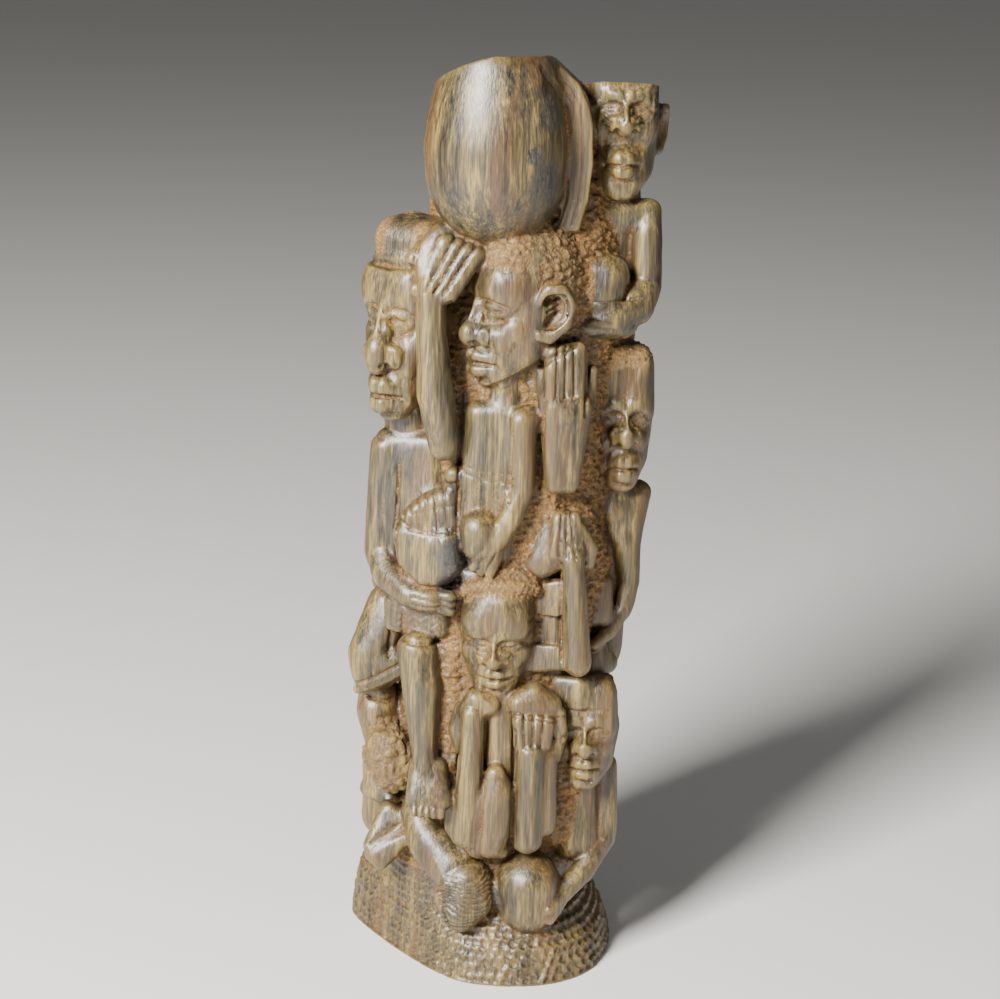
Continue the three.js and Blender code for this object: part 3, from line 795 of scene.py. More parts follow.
THINKER_HEAD = head_place((4, -31, 151), 54, 32, 46, yaw=-5, pitch=10)
THINKER_LOOK = Look(brow=0.07, eyes=-0.01, nose=-0.165, mouth=-0.285, chin=-0.41, nose_width=1.3)
TWIST = ((-9, -37, 169), (-3, -40, 171.5), (5, -41, 172), (12, -40, 171.5), (18, -36, 170))
SHOULDER_HAND = Hand(((15, -44, 105), (25, -42, 105)), ((14, -44.5, 116), (26, -42.5, 115)), 2.9)


def thinker(rough):
    """The small full face in the middle, with the chin over folded arms."""
    face(rough, THINKER_HEAD, THINKER_LOOK)
    rough.limb(*[(*spot, 3.2) for spot in TWIST])
    rough.lump((-8, -33, 174, 4), (5, -35, 176, 4), (17, -33, 174, 4))
    rough.lump((6, -31, 130, 8), (7, -28, 112, 13), (6, -28, 66, 14))
    # left shoulder, bent arm and the leg under it
    rough.lump((-4, -40, 123, 4.6), (2, -41, 121, 4), (-7, -38, 117, 5))
    rough.limb((-9, -37, 117, 4), (-11, -37, 109, 3.8), (-9, -38.5, 101, 3.6))
    rough.lump((-5, -42, 117, 4.6), (-5.5, -43, 92, 5.4), (-6, -43, 78, 5.4))
    rough.lump((-6, -43, 78, 5.4), (-7, -42, 64, 6), (-2, -41, 59, 4.6))
    rough.limb((-11, -38, 80, 4), (-11, -39, 66, 4.6), (-2, -42, 57, 3.8), (8, -42, 57, 3.6))
    # right shoulder, hand and forearm
    rough.lump((14, -40, 122, 5), (26, -38, 121, 5.2), (20, -38, 126, 4.6))
    hand(rough, SHOULDER_HAND)
    rough.limb((30, -38, 117, 3.4), (31, -37, 107, 3.4), (28, -39, 98, 3.4))
    rough.lump((19, -43, 101, 6), (19, -43, 80, 6.2), (19, -42, 63, 6.6))
    rough.lump((26, -40, 98, 4.4), (26, -39, 68, 5))
    # knees between the arms
    rough.lump((5, -43.5, 92, 4), (7, -44, 84, 6), (3, -44, 80, 6), (6, -44, 68, 6.6), (4, -43, 60, 6))


def thinker_cuts(skin):
    face_cuts(skin, THINKER_HEAD, THINKER_LOOK)
    band, weight = skin.region(*[(*spot, 5) for spot in TWIST], (5, -35, 176, 6), soft=0.15)
    skin.texture(band, weight, woven(2.6, 1.0))
    skin.paint(band, weight * 0.8)
    hand_cuts(skin, SHOULDER_HAND, width=0.7, depth=1.4)
    skin.gap([(10, -46, 117.5), (20, -47, 117), (30, -44, 115)], 0.8, 0.8)
    between_limbs = (
        [(0.6, -46, 112), (-0.2, -46, 90), (-0.6, -46, 66)],
        [(12.2, -44, 112), (12.6, -46, 90), (12.8, -46, 60)],
        [(-10, -42, 100), (-11, -42, 84)],
    )
    skin.gaps(between_limbs, 1.2, 1.8)


KEEPER_HEAD = head_place((42, -21, 106), 53, 28, 42, yaw=-2)
KEEPER_LOOK = Look(
    brow=0.1, eyes=0.03, nose=-0.15, mouth=-0.275, chin=-0.4, nose_width=1.3, skull=SQUARE_SKULL)


def pot_keeper(rough):
    """A figure at the lower right in a broad headband, with one long arm round a ball."""
    face(rough, KEEPER_HEAD, KEEPER_LOOK)
    rough.lump(
        (27, -27, 127, 3), (39, -30, 128, 3), (50, -23, 127, 3),
        (27, -28, 119, 2.6), (39, -31.5, 119, 2.8), (50, -24, 119, 2.6))
    rough.lump((46, -15, 139, 4), (50, -12, 131, 5), (43, -18, 131, 4))
    # body, knee and the long arm
    rough.lump((40, -20, 82, 8), (39, -19, 56, 12))
    rough.limb((51, -15, 86, 5.4), (52.5, -18, 66, 5.2), (52, -20, 54, 5))
    rough.limb((52, -20, 54, 5), (43, -30, 43, 5), (35, -38, 36, 3.8), (29, -45, 32, 2.8))
    rough.lump((35, -40, 34, 2.4), (30, -45, 27, 2))
    rough.lump((43, -24, 60, 4.6), (38, -26, 54, 4), (47, -21, 57, 4))
    rough.lump((38, -26, 50, 3), (45, -23, 49, 3))
    # ball
    rough.lump((20, -36, 40, 14), (20, -37, 30, 12.4))
    rough.lump((9, -37, 38, 6.4), (12, -38, 30, 5.6))


def pot_keeper_cuts(skin):
    face_cuts(skin, KEEPER_HEAD, KEEPER_LOOK)
    skin.gap([(26, -32, 117), (39, -34, 116.5), (51, -28, 117)], 0.9, 1.0)
    worn, weight = skin.region((11, -38, 36, 7), soft=0.3)
    skin.texture(worn, weight, crumbs(2, 0.5))
    skin.darken(worn, weight * 0.7)


PLATE_HEAD = head_place((51, -5, 238), 65, 27, 46, yaw=8)
PLATE_LOOK = Look(
    brow=0.08, eyes=0.015, nose=-0.16, mouth=-0.315, chin=-0.41, nose_width=1.4, lips=1.1, skull=SQUARE_SKULL)


def plate_bearer(rough):
    """A figure at the right, with a thin bent arm round an oval plate."""
    face(rough, PLATE_HEAD, PLATE_LOOK)
    rough.lump((48, 0, 210, 10), (44, 4, 160, 14), (43, 2, 134, 14))
    rough.lump((50, -7, 203, 5), (60, -4, 203, 5.6), (50, -9, 195, 5))
    rough.lump((59, -5, 201, 6), (56, -8, 182, 6), (50, -9, 190, 4))
    rough.limb((56, -8, 182, 6), (58, -9, 166, 4.6), (56, -12, 155, 3.8))
    rough.limb((56, -12, 155, 3.8), (50, -16, 146, 3.4), (44, -19, 141, 2.8))
    rough.lump((43, -15, 168, 3.8), (47, -15, 167, 4.2), (43, -16, 152, 4), (48, -15, 153, 4.2))


def plate_bearer_cuts(skin):
    face_cuts(skin, PLATE_HEAD, PLATE_LOOK)
    hair, weight = skin.region((47, -13, 266, 8), (56, -11, 266, 8), soft=0.2)
    skin.texture(hair, weight, crumbs(2.2, 0.8))
    skin.paint(hair, weight * 0.7)
    skin.gap([(42, -20, 261), (50, -22, 260), (60, -18, 262)], 0.8, 0.7)


KNEE_HAND = Hand(((26, -38, 186), (36, -36, 184)), ((27, -35, 200), (33, -34, 200)), 2.9)
SHIN_LINES = 6


def held_knee(rough):
    """A drawn-up knee in the middle, with a hand over it and the leg below."""
    rough.lump((20, -32, 180, 6.6), (27, -31, 185, 8), (23, -31, 190, 6), (29, -31, 198, 5))
    hand(rough, KNEE_HAND)
    rough.limb((35, -34, 196, 2.8), (41, -32, 187, 2.8), (40, -32, 180, 2.2))
    rough.lump((33, -37, 184, 5), (35, -37, 160, 5.2), (37, -36, 139, 5.8))
    # the other shin, with a bright facet above and a hatched stretch below
    rough.lump(
        (20, -31, 170, 2.4), (29, -34, 172, 2.2), (20, -32, 160, 2.4), (30, -36, 160, 1.8),
        (24, -28, 164, 5))
    rough.lump((22, -28, 158, 5), (28, -29, 158, 5), (22, -28, 144, 5), (28, -29, 144, 5))
    rough.lump(
        (20, -32, 144, 2.6), (30, -34, 144, 2.6), (18, -33, 135, 2.4), (38, -36, 139, 2.6),
        (28, -28, 138, 5))


def held_knee_cuts(skin):
    hand_cuts(skin, KNEE_HAND, width=0.7, depth=1.1)
    for x in np.linspace(19, 30, SHIN_LINES):
        skin.slit([(x, -34, 157), (x + 0.4, -34, 147)], 0.5, 0.5, reach=LONG_REACH)
    skin.gaps(([(17, -34, 158), (30, -35, 157.4)], [(17, -34, 146.4), (30, -35, 146.4)]), 0.9, 0.9)
    skin.gap([(28.6, -39, 182), (29, -38, 160), (30.4, -38, 140)], 0.9, 1.4)
    skin.gap([(15, -34, 177), (22, -38, 172.6), (29, -38, 175)], 1.0, 1.3)


GOURD_BEARER_LEFT = 30
CROWN_FRONT, CROWN_FALL = -20, 0.28  # where the flat crown starts, and how far it falls to the back
GOURD_HEAD = head_place((46, -3, 353), 58, 30, 44, yaw=4)
GOURD_LOOK = Look(
    brow=0.24, eyes=0.15, nose=0.01, mouth=-0.215, chin=-0.39, nose_width=1.4, lips=1.3, skull=SQUARE_SKULL)


def gourd_bearer(rough):
    """A figure at the upper right with a worn face, over a gourd."""
    face(rough, GOURD_HEAD, GOURD_LOOK)
    ear(rough, GOURD_HEAD, rise=0.02)
    rough.lump((47, -1, 330, 8), (43, 3, 308, 14), (40, 5, 268, 16))
    # shoulders and the bent arm
    rough.lump((30, -10, 313, 4.6), (44, -9, 320, 4.4), (57, -6, 321, 5), (40, -4, 312, 8))
    rough.lump((59, -6, 321, 5), (58, -8, 312, 6), (59, -9, 292, 6))
    rough.lump((59, -10, 291, 6), (55, -14, 283, 7), (44, -22, 279, 6))
    rough.lump((44, -22, 279, 6), (36, -24, 277, 5), (50, -17, 277, 6))
    # gourd
    rough.lump((36, -17, 299, 8), (43, -17, 296, 9), (40, -18, 287, 9))


def gourd_bearer_cuts(skin):
    face_cuts(skin, GOURD_HEAD, GOURD_LOOK)
    top = skin.near((skin.column @ Vector((0, 0, 366))).z, np.inf)
    top = top[skin.points[top, 0] > GOURD_BEARER_LEFT]
    crown = (skin.column @ Vector((0, 0, DRAWN_COLUMN_HEIGHT))).z
    crown = crown - CROWN_FALL * (skin.points[top, 1] - CROWN_FRONT)
    skin.points[top, 2] = np.minimum(skin.points[top, 2], crown)
    worn, weight = skin.region((53, -14, 364, 8), (38, -14, 362, 5), soft=0.3)
    skin.texture(worn, weight, crumbs(3, 0.7))
    skin.gap([(51, -19, 306), (52.4, -19, 296), (50, -21, 288)], 1.2, 1.6)
    skin.gap([(37, -24, 287), (47, -24, 287.4), (57, -18, 288)], 0.9, 1.0)
    skin.gaps(([(37, -27, 281), (46, -25, 279)], [(38, -27, 278), (47, -25, 276)]), 0.6, 0.6)


# Back: plainer figures that squat against the log
# Each is drawn 100 high on a log of this radius, looking towards -y.

SQUATTER_HEIGHT = 100
SQUATTER_LOG = 34
ON_THE_KNEES = (12, -46, 41)
UNDER_THE_CHIN = (5, -42, 63)
ROUND_THE_SHINS = (4, -46, 24)
BACK_FIGURES = (
    {"axis": 2, "foot": 24, "height": 96, "facing": 130, "wide": 1.3, "hand": ON_THE_KNEES},
    {"axis": -2, "foot": 22, "height": 92, "facing": 224, "wide": 1.3, "hand": ROUND_THE_SHINS},
    {"axis": 5, "foot": 116, "height": 100, "facing": 138, "wide": 1.3, "hand": UNDER_THE_CHIN},
    {"axis": 2, "foot": 112, "height": 108, "facing": 230, "wide": 1.3, "hand": ON_THE_KNEES},
    {"axis": 10, "foot": 220, "height": 104, "facing": 178, "wide": 1.5, "hand": ROUND_THE_SHINS},
)


def squatter_places(axis, foot, height, facing, wide, hand):
    stand = Matrix.Translation((axis, 0, foot)) @ Matrix.Rotation(radians(facing), 4, "Z")
    stand = stand @ Matrix.Translation((0, SQUATTER_LOG - DRAWN_CORE_DIAMETER / 2, 0))
    stand = stand @ Matrix.Diagonal((wide, 1, height / SQUATTER_HEIGHT, 1))
    return stand, stand @ head_place((0, -35, 83), 40, 27, 34, pitch=8)


def squatter(rough, figure):
    stand, head = squatter_places(**figure)
    face(rough, head, Look())
    rough.lump((-10, -32, 62, 8), (10, -32, 62, 8), (0, -29, 24, 13), place=stand)
    inward, out, up = figure["hand"]
    rough.both((11, -27, 18, 8), (12, -41, 37, 7), place=stand)
    rough.both((12, -41, 37, 7), (10, -39, 5, 6), place=stand)
    rough.both((10, -38, 3, 4), (10, -45, 2, 3.4), place=stand)
    rough.both((18, -31, 62, 6), (21, -35, 44, 5.4), place=stand)
    rough.both((21, -35, 44, 5.4), (inward, out, up, 5), place=stand)


def squatter_cuts(skin, figure):
    face_cuts(skin, squatter_places(**figure)[1], Look())


# Pot

POT_PROFILE = (
    (0, 0), (0.35, 0), (0.68, 0.11), (0.92, 0.28), (1, 0.5),
    (0.99, 0.66), (0.9, 0.86), (0.66, 1.22), (0, 1.22),
)
POT_SIDES = 96
POT_MIDDLE = (-3, -25)
CROWN = 0.5
# inner and outer edge of the strap and its height, as shares of the pot's radius and height
STRAP = (
    (0.56, 0.74, 1.05), (0.8, 1.06, 0.93), (0.94, 1.2, 0.82), (0.99, 1.26, 0.69), (1.0, 1.28, 0.48),
    (0.98, 1.24, 0.27), (0.88, 1.13, 0.1),
)
STRAP_FRONT, STRAP_BACK, STRAP_EDGE = -0.06, 0.46, 1.3
STRAP_LINES = (0.36, 0.7)
# worn places: out to the right, out to the front and up, as shares of the pot, and a size in millimetres
KNOT = (0.5, -0.84, 0.56, 2.6)
WORN_LOW, WORN_HIGH = (0.66, -0.7, 0.4, 7), (0.7, -0.6, 0.78, 5)
DISH_EDGE, DISH_REACH = 3, 2


def curve_through(points, steps):
    """A smooth curve through points, with a few steps between each two of them."""
    points = np.array(points, dtype=float)
    padded = np.vstack([2 * points[0] - points[1], points, 2 * points[-1] - points[-2]])
    line = []
    for i in range(1, len(points)):
        a, b, c, d = padded[i - 1:i + 3]
        for t in np.arange(steps) / steps:
            bend = (2 * a - 5 * b + 4 * c - d) * t**2 + (3 * (b - c) + d - a) * t**3
            line.append(0.5 * (2 * b + (c - a) * t + bend))
    return line + [points[-1]]


def pot_place(sizes, column):
    """Where the pot's seat is, and the slanting plane that its top is cut along, in millimetres."""
    x, y, _ = column @ Vector((*POT_MIDDLE, 0))
    seat = (column @ BEARER_HEAD @ Vector((0, 0, CROWN))).z - sizes.pot_seat / MM
    slant = Matrix.Translation((x, y, seat + sizes.pot_height / MM))
    slant = slant @ Matrix.Rotation(-sizes.pot_top_fall, 4, "Y")
    slant = slant @ Matrix.Rotation(-sizes.pot_top_lean, 4, "X")
    return Vector((x, y, seat)), slant


def pot(rough, sizes):
    seat, slant = pot_place(sizes, rough.column)
    radius, height = sizes.pot_diameter / MM / 2, sizes.pot_height / MM
    form = bmesh.new()
    belly = curve_through(POT_PROFILE[1:-1], 6)
    line = [POT_PROFILE[0], *belly, POT_PROFILE[-1]]
    corners = [form.verts.new(seat + Vector((across * radius, 0, up * height))) for across, up in line]
    edges = [form.edges.new(pair) for pair in zip(corners, corners[1:])]
    bmesh.ops.spin(
        form, geom=corners + edges, cent=seat, axis=(0, 0, 1), angle=2 * pi, steps=POT_SIDES, use_merge=True)
    bmesh.ops.remove_doubles(form, verts=form.verts[:], dist=1e-3)
    top = slant.to_3x3() @ Vector((0, 0, 1))
    bmesh.ops.bisect_plane(
        form, geom=form.verts[:] + form.edges[:] + form.faces[:], plane_co=slant.translation, plane_no=top,
        clear_outer=True)
    bmesh.ops.holes_fill(form, edges=[edge for edge in form.edges if edge.is_boundary])
    bmesh.ops.recalc_face_normals(form, faces=form.faces[:])
    rough.take(form)
    place = rough.column.inverted() @ Matrix.Translation(seat)
    for lower, upper in zip(STRAP, STRAP[1:]):
        rough.lump(
            *[(across * radius, deep * radius, up * height, STRAP_EDGE)
              for inner, outer, up in (lower, upper)
              for across in (inner, outer)
              for deep in (STRAP_FRONT, STRAP_BACK)],
            place=place)


def pot_cuts(skin, sizes):
    """The dish in the top, the lines along the strap, and the worn places of the belly."""
    seat, slant = pot_place(sizes, skin.column)
    radius, height = sizes.pot_diameter / MM / 2, sizes.pot_height / MM
    chosen = skin.near(slant.translation.z - radius, np.inf)
    spots = skin.local(chosen, slant)
    away = np.hypot(spots[:, 0], spots[:, 1]) / (sizes.pot_mouth_diameter / MM / 2)
    dish = np.clip((1 - away) * DISH_EDGE, 0, 1) * (np.abs(spots[:, 2]) < DISH_REACH)
    dish = dish * dish * (3 - 2 * dish)
    down = np.array(slant.to_3x3() @ Vector((0, 0, -1)))
    skin.points[chosen] += down * (dish * sizes.pot_mouth_depth / MM)[:, None]

    place = skin.column.inverted() @ Matrix.Translation(seat)
    for share in STRAP_LINES:
        line = [((inner + (outer - inner) * share) * radius, STRAP_FRONT * radius, up * height)
                for inner, outer, up in STRAP]
        skin.slit(line, 0.7, 0.55, place=place)
    # the groove where the strap leaves the belly
    line = [((inner - 0.02) * radius, STRAP_FRONT * radius, up * height) for inner, _, up in STRAP]
    skin.cut(line, 1.3, 1.3, place=place, reach=14)

    def on_pot(x, y, z, size):
        return x * radius, y * radius, z * height, size

    knot, weight = skin.region(on_pot(*KNOT), place=place, soft=0.6)
    skin.texture(knot, weight, crumbs(1.4, 0.7))
    skin.darken(knot, weight)
    patch, weight = skin.region(on_pot(*WORN_LOW), on_pot(*WORN_HIGH), place=place, soft=0.5)
    skin.texture(patch, weight, crumbs(1.8, 0.35))
    skin.darken(patch, weight * 0.8)


# Base

BASE_OUTLINE = (
    (0, 1), (0.6, 0.86), (0.93, 0.45), (1, -0.1), (0.85, -0.66), (0.5, -0.96),
    (0, -0.99), (-0.32, -0.78), (-0.72, -0.26), (-0.99, 0.28), (-0.84, 0.7), (-0.5, 0.93),
)
BASE_SHOULDERS = ((1, 0), (1, 0.2), (0.95, 1))
BASE_DOME = ((0.86, 0.5), (0.72, 1.1))
LEFT_RISE = 0.8  # how much higher, as a share, the mound is left at its left side
SHALLOW_SIDE = -50  # left of this the pits are a little shallower
FLUTES = (24, 46, 3.2)  # first and last place of the flutes in x, and the step between them
PITS_ABOVE = 9  # how far the pits run up the foot of the log above the mound
PITS_FROM = 0.5
ON_THE_MOUND = 0.8  # a point this near the mound is bare of figures
PIT_ROWS = 12
PIT_SEED = 7
PIT_ROW_STEP = 0.86  # the next three are shares of the distance between pits
PIT_WANDER_ALONG, PIT_WANDER_UP = 0.12, 0.1
PIT_HALF_WIDTH = 0.62
PIT_RIDGE = 0.25  # height of the ridge between pits, as a share of their depth
OUTSIDE = 200
SHALLOW_SHARE = 0.8


def base(rough, sizes):
    """A low mound with an upright rim, flattened towards the front left."""
    form = bmesh.new()
    outline = curve_through([*BASE_OUTLINE, BASE_OUTLINE[0]], 6)
    wall, rise = sizes.base_wall / MM, (sizes.base_height - sizes.base_wall) / MM
    levels = [(share, up * wall) for share, up in BASE_SHOULDERS]
    levels += [(share, wall + up * rise) for share, up in BASE_DOME]
    for share, z in levels:
        for x, y in outline:
            up = min(z * (1 + LEFT_RISE * max(-x, 0)), sizes.base_height / MM + 2)
            form.verts.new((x * share * sizes.base_width / MM / 2, y * share * sizes.base_depth / MM / 2, up))
    bmesh.ops.remove_doubles(form, verts=form.verts[:], dist=1e-3)
    hull = bmesh.ops.convex_hull(form, input=form.verts[:])
    inner = [item for item in hull["geom_interior"] if isinstance(item, bmesh.types.BMVert)]
    bmesh.ops.delete(form, geom=inner, context="VERTS")
    rough.take(form)


def base_pits(skin, mound, sizes, tools):
    """Gouge pits side by side over the base and the foot of the log, where no figure covers them."""
    pitch, depth = tools.pit_pitch / MM, tools.pit_depth / MM
    chosen = skin.near(PITS_FROM, sizes.base_height / MM + PITS_ABOVE)
    away = np.array([mound.find_nearest(Vector(skin.points[i]))[3] for i in chosen])
    chosen = chosen[away < ON_THE_MOUND]
    girth = pi * (sizes.base_width + sizes.base_depth) / 2 / MM
    around = round(girth / pitch)
    draw = np.random.RandomState(PIT_SEED)
    pits = []
    for row in range(PIT_ROWS):
        up = (row + 0.5) * pitch * PIT_ROW_STEP
        for i in range(around):
            wander = draw.uniform(-PIT_WANDER_ALONG, PIT_WANDER_ALONG)
            turn = (i + row % 2 / 2 + wander) / around * 2 * pi
            lift = up + draw.uniform(-PIT_WANDER_UP, PIT_WANDER_UP) * pitch
            start = Vector((cos(turn) * OUTSIDE, sin(turn) * OUTSIDE, lift))
            hit = mound.ray_cast(start, Vector((-cos(turn), -sin(turn), 0)))[0]
            if hit:
                pits.append(hit)
    tree = KDTree(len(pits))
    for i, pit in enumerate(pits):
        tree.insert(pit, i)
    tree.balance()
    near = np.array([tree.find(Vector(skin.points[i]))[2] for i in chosen])
    bowl = np.clip(1 - (near / (pitch * PIT_HALF_WIDTH)) ** 2, -PIT_RIDGE, 1)
    bowl *= np.where(skin.points[chosen, 0] < SHALLOW_SIDE, SHALLOW_SHARE, 1)
    skin.points[chosen] -= skin.normals[chosen] * (bowl * depth)[:, None]
    # faint slanted flutes over the right of the rim
    for x in np.arange(*FLUTES):
        skin.cut([(x, -30, 13), (x - 4, -34, 2)], 1.6, 0.5, reach=22, facing=0.02)


# Ground and knife marks

WAVE_DEPTH, WAVE_SIZE = 0.34, (6, 6, 9)
LINE_DEPTH, LINE_SIZE = 0.2, (1.4, 1.4, 13)
FAINT = 0.2


def knife_marks(skin, sizes):
    """The slight waves and lengthwise lines that the knife leaves, faint on the pot and the base."""
    def relief(point):
        waves = WAVE_DEPTH * noise.noise(scaled(point, *WAVE_SIZE))
        return waves + LINE_DEPTH * noise.noise(scaled(point, *LINE_SIZE))
    seat = pot_place(sizes, skin.column)[0].z
    smooth = (skin.points[:, 2] > seat) & (skin.points[:, 0] < GOURD_BEARER_LEFT)
    smooth |= skin.points[:, 2] < sizes.base_height / MM
    skin.texture(np.arange(len(skin.points)), np.where(smooth, FAINT, 1), relief)


GROUND_FOOT = 38
GROUND_SKIN = 0.4  # a point this near the log's own surface is ground, in millimetres


def ground_marks(skin, log):
    """Short rough chisel marks over the log's own surface, left between the figures."""
    away = np.array([log.find_nearest(Vector(point))[3] for point in skin.points])
    weight = np.clip(2 - away / GROUND_SKIN, 0, 1)
    weight *= np.clip((skin.points[:, 2] - GROUND_FOOT) / 4, 0, 1)
    weight = skin.blurred(weight[:, None], 3)[:, 0]
    chosen = np.flatnonzero(weight > 0.02)
    skin.texture(chosen, weight[chosen], chips(1.8, 1.3))
    skin.ground[chosen] = weight[chosen]


# Putting the carving together

def grow_together(forms, grain):
    """One closed skin round all the forms."""
    mesh = bpy.data.meshes.new("forms")
    forms.to_mesh(mesh)
    forms.free()
    block = bpy.data.objects.new("forms", mesh)
    bpy.context.scene.collection.objects.link(block)
    remesh = block.modifiers.new("Grow together", "REMESH")
    remesh.mode = "VOXEL"
    remesh.voxel_size = grain
    grown = bpy.data.meshes.new_from_object(block.evaluated_get(bpy.context.evaluated_depsgraph_get()))
    bpy.data.objects.remove(block)
    bpy.data.meshes.remove(mesh)
    return grown


THINNER_BEHIND = 0.014
KEPT_LEAST = 0.12  # a weight of nothing would keep every triangle of the front
TURNED_AWAY, TURN_START, DEPTH_RUN = 1.4, 0.2, 60


def plainness(skin):
    """How little each point is seen from the front, from 0 to 1."""
    return np.clip(skin.normals[:, 1] * TURNED_AWAY + TURN_START + skin.points[:, 1] / DEPTH_RUN, 0, 1)


def thin_out(mesh, target, plain):
    """The same skin with fewer triangles, laid where the relief needs them and more thickly in front."""
    block = bpy.data.objects.new("thick", mesh)
    bpy.context.scene.collection.objects.link(block)
    group = block.vertex_groups.new(name="plainer")
    for i, share in enumerate(KEPT_LEAST + (1 - KEPT_LEAST) * plain):
        group.add([i], float(share), "REPLACE")
    thin = block.modifiers.new("Thin out", "DECIMATE")
    thin.vertex_group = group.name
    thin.vertex_group_factor = THINNER_BEHIND
    thin.ratio = min(1, target / (2 * len(mesh.polygons)))
    thin.use_collapse_triangulate = True
    thinned = bpy.data.meshes.new_from_object(block.evaluated_get(bpy.context.evaluated_depsgraph_get()))
    bpy.data.objects.remove(block)
    return thinned


def drop_crumbs(mesh):
    """Keeps the one large skin, without the tiny bits that the thinning leaves beside it."""
    form = bmesh.new()
    form.from_mesh(mesh)
    top = max(form.verts, key=lambda vertex: vertex.co.z)
    kept, waiting = {top}, [top]
    while waiting:
        vertex = waiting.pop()
        for edge in vertex.link_edges:
            other = edge.other_vert(vertex)
            if other not in kept:
                kept.add(other)
                waiting.append(other)
    bmesh.ops.delete(form, geom=[vertex for vertex in form.verts if vertex not in kept], context="VERTS")
    form.to_mesh(mesh)
    form.free()


SKY_RAYS, SKY_REACH = 10, 16.0
SKY_SPREAD = 0.85  # how far down from straight out the rays go
RAY_START = 0.25
FAR_HIT_LOSS = 0.6  # how much less a hit at the rays' end counts


def shelter(mesh):
    """How much of the sky each point can't see, from 0 to 1."""
    tree = BVHTree.FromPolygons([v.co[:] for v in mesh.vertices], [p.vertices[:] for p in mesh.polygons])
    golden = pi * (3 - 5**0.5)
    sky = []
    for i in range(SKY_RAYS):
        up = 1 - (i + 0.5) / SKY_RAYS * SKY_SPREAD
        out = (1 - up * up) ** 0.5
        sky.append((out * cos(golden * i), out * sin(golden * i), up))
    values = np.empty(len(mesh.vertices))
    for i, vertex in enumerate(mesh.vertices):
        normal = vertex.normal
        side = normal.orthogonal().normalized()
        other = normal.cross(side)
        start = vertex.co + normal * RAY_START
        hits = 0.0
        for x, y, z in sky:
            hit = tree.ray_cast(start, side * x + other * y + normal * z, SKY_REACH)
            if hit[0] is not None:
                hits += 1 - hit[3] / SKY_REACH * FAR_HIT_LOSS
        values[i] = hits / SKY_RAYS
    return values


def store(mesh, name, values):
    attribute = mesh.attributes.new(name, "FLOAT", "POINT")
    attribute.data.foreach_set("value", values.astype(np.float32))


def keep_in_box(mesh):
    """Brings what stands out of the frame's box back to its sides."""
    points = np.empty(len(mesh.vertices) * 3)
    mesh.vertices.foreach_get("co", points)
    low, high = (np.array(corner) / MM for corner in CAD_BOX)
    mesh.vertices.foreach_set("co", np.clip(points.reshape(-1, 3), low, high).ravel())
    mesh.update()


FRONT_FIGURES = (
    (pot_bearer, pot_bearer_cuts),
    (raised_arm, raised_arm_cuts),
    (jaw_arm, jaw_arm_cuts),
    (basket_holder, basket_holder_cuts),
    (basket_holder_legs, basket_holder_legs_cuts),
    (crouching_figure, crouching_figure_cuts),
    (bowed_figure, bowed_figure_cuts),
    (thinker, thinker_cuts),
    (pot_keeper, pot_keeper_cuts),
    (plate_bearer, plate_bearer_cuts),
    (held_knee, held_knee_cuts),
    (gourd_bearer, gourd_bearer_cuts),
)
SETTLING, HOLLOW_SPREAD = 3, 40
CURL_SEED = 7  # without a seed the curls of the hair differ from run to run


def rough_out(sizes, column):
    """All the forms, with the bare log and the bare mound to tell ground and pits by."""
    rough = Rough(column)
    core(rough)
    log = BVHTree.FromBMesh(rough.forms)
    base(rough, sizes)
    mound = BVHTree.FromBMesh(rough.forms)
    for shape, _ in FRONT_FIGURES:
        shape(rough)
    for figure in BACK_FIGURES:
        squatter(rough, figure)
    pot(rough, sizes)
    return rough.forms, log, mound


def carve(skin, sizes, tools, log, mound):
    """Every cut and texture, from the knife's waves to the chisel marks of the ground."""
    noise.seed_set(CURL_SEED)
    skin.settle(SETTLING)
    knife_marks(skin, sizes)
    skin.points[:, 2] = np.maximum(skin.points[:, 2], 0)
    for _, cuts in FRONT_FIGURES:
        cuts(skin)
    for figure in BACK_FIGURES:
        squatter_cuts(skin, figure)
    pot_cuts(skin, sizes)
    base_pits(skin, mound, sizes, tools)
    ground_marks(skin, log)
    skin.refresh()


def store_marks(mesh, skin):
    """Gives each point of the thinned mesh the marks of the nearest point of the full skin."""
    tree = KDTree(len(skin.points))
    for i, point in enumerate(skin.points):
        tree.insert(point, i)
    tree.balance()
    source = np.array([tree.find(vertex.co)[1] for vertex in mesh.vertices])
    store(mesh, "rough", skin.rough[source])
    store(mesh, "worn", skin.worn[source])
    store(mesh, "ground", skin.ground[source])
    store(mesh, "groove", skin.hollowness(HOLLOW_SPREAD)[source])
    store(mesh, "shelter", shelter(mesh))


class CARVING_OT_column(Operator):
    """Carves the whole column of figures with its pot and base, as one piece"""

    bl_idname = "carving.column"
    bl_label = "Carve Column"

    def execute(self, context):
        scene = context.scene
        sizes, tools = scene.column_sizes, scene.carver_tools
        column = column_place(sizes)
        forms, log, mound = rough_out(sizes, column)
        skin = Skin(grow_together(forms, tools.grain / MM * (1)), column)
        carve(skin, sizes, tools, log, mound)
        mesh = thin_out(skin.mesh, tools.triangles / (1), plainness(skin))
        if not len(mesh.polygons):
            raise RuntimeError("the forms didn't grow together into a skin")
        keep_in_box(mesh)
        drop_crumbs(mesh)
        store_marks(mesh, skin)
        mesh.transform(Matrix.Scale(MM, 4))
        mesh.shade_smooth()
        mesh.name = "carved_column"
        mesh.materials.clear()
        mesh.materials.append(waxed_wood(scene.wood_finish))
        carving = bpy.data.objects.new("carved_column", mesh)
        scene.collection.objects.link(carving)
        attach(carving, "root")
        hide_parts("carving")
        return {"FINISHED"}


# Materials

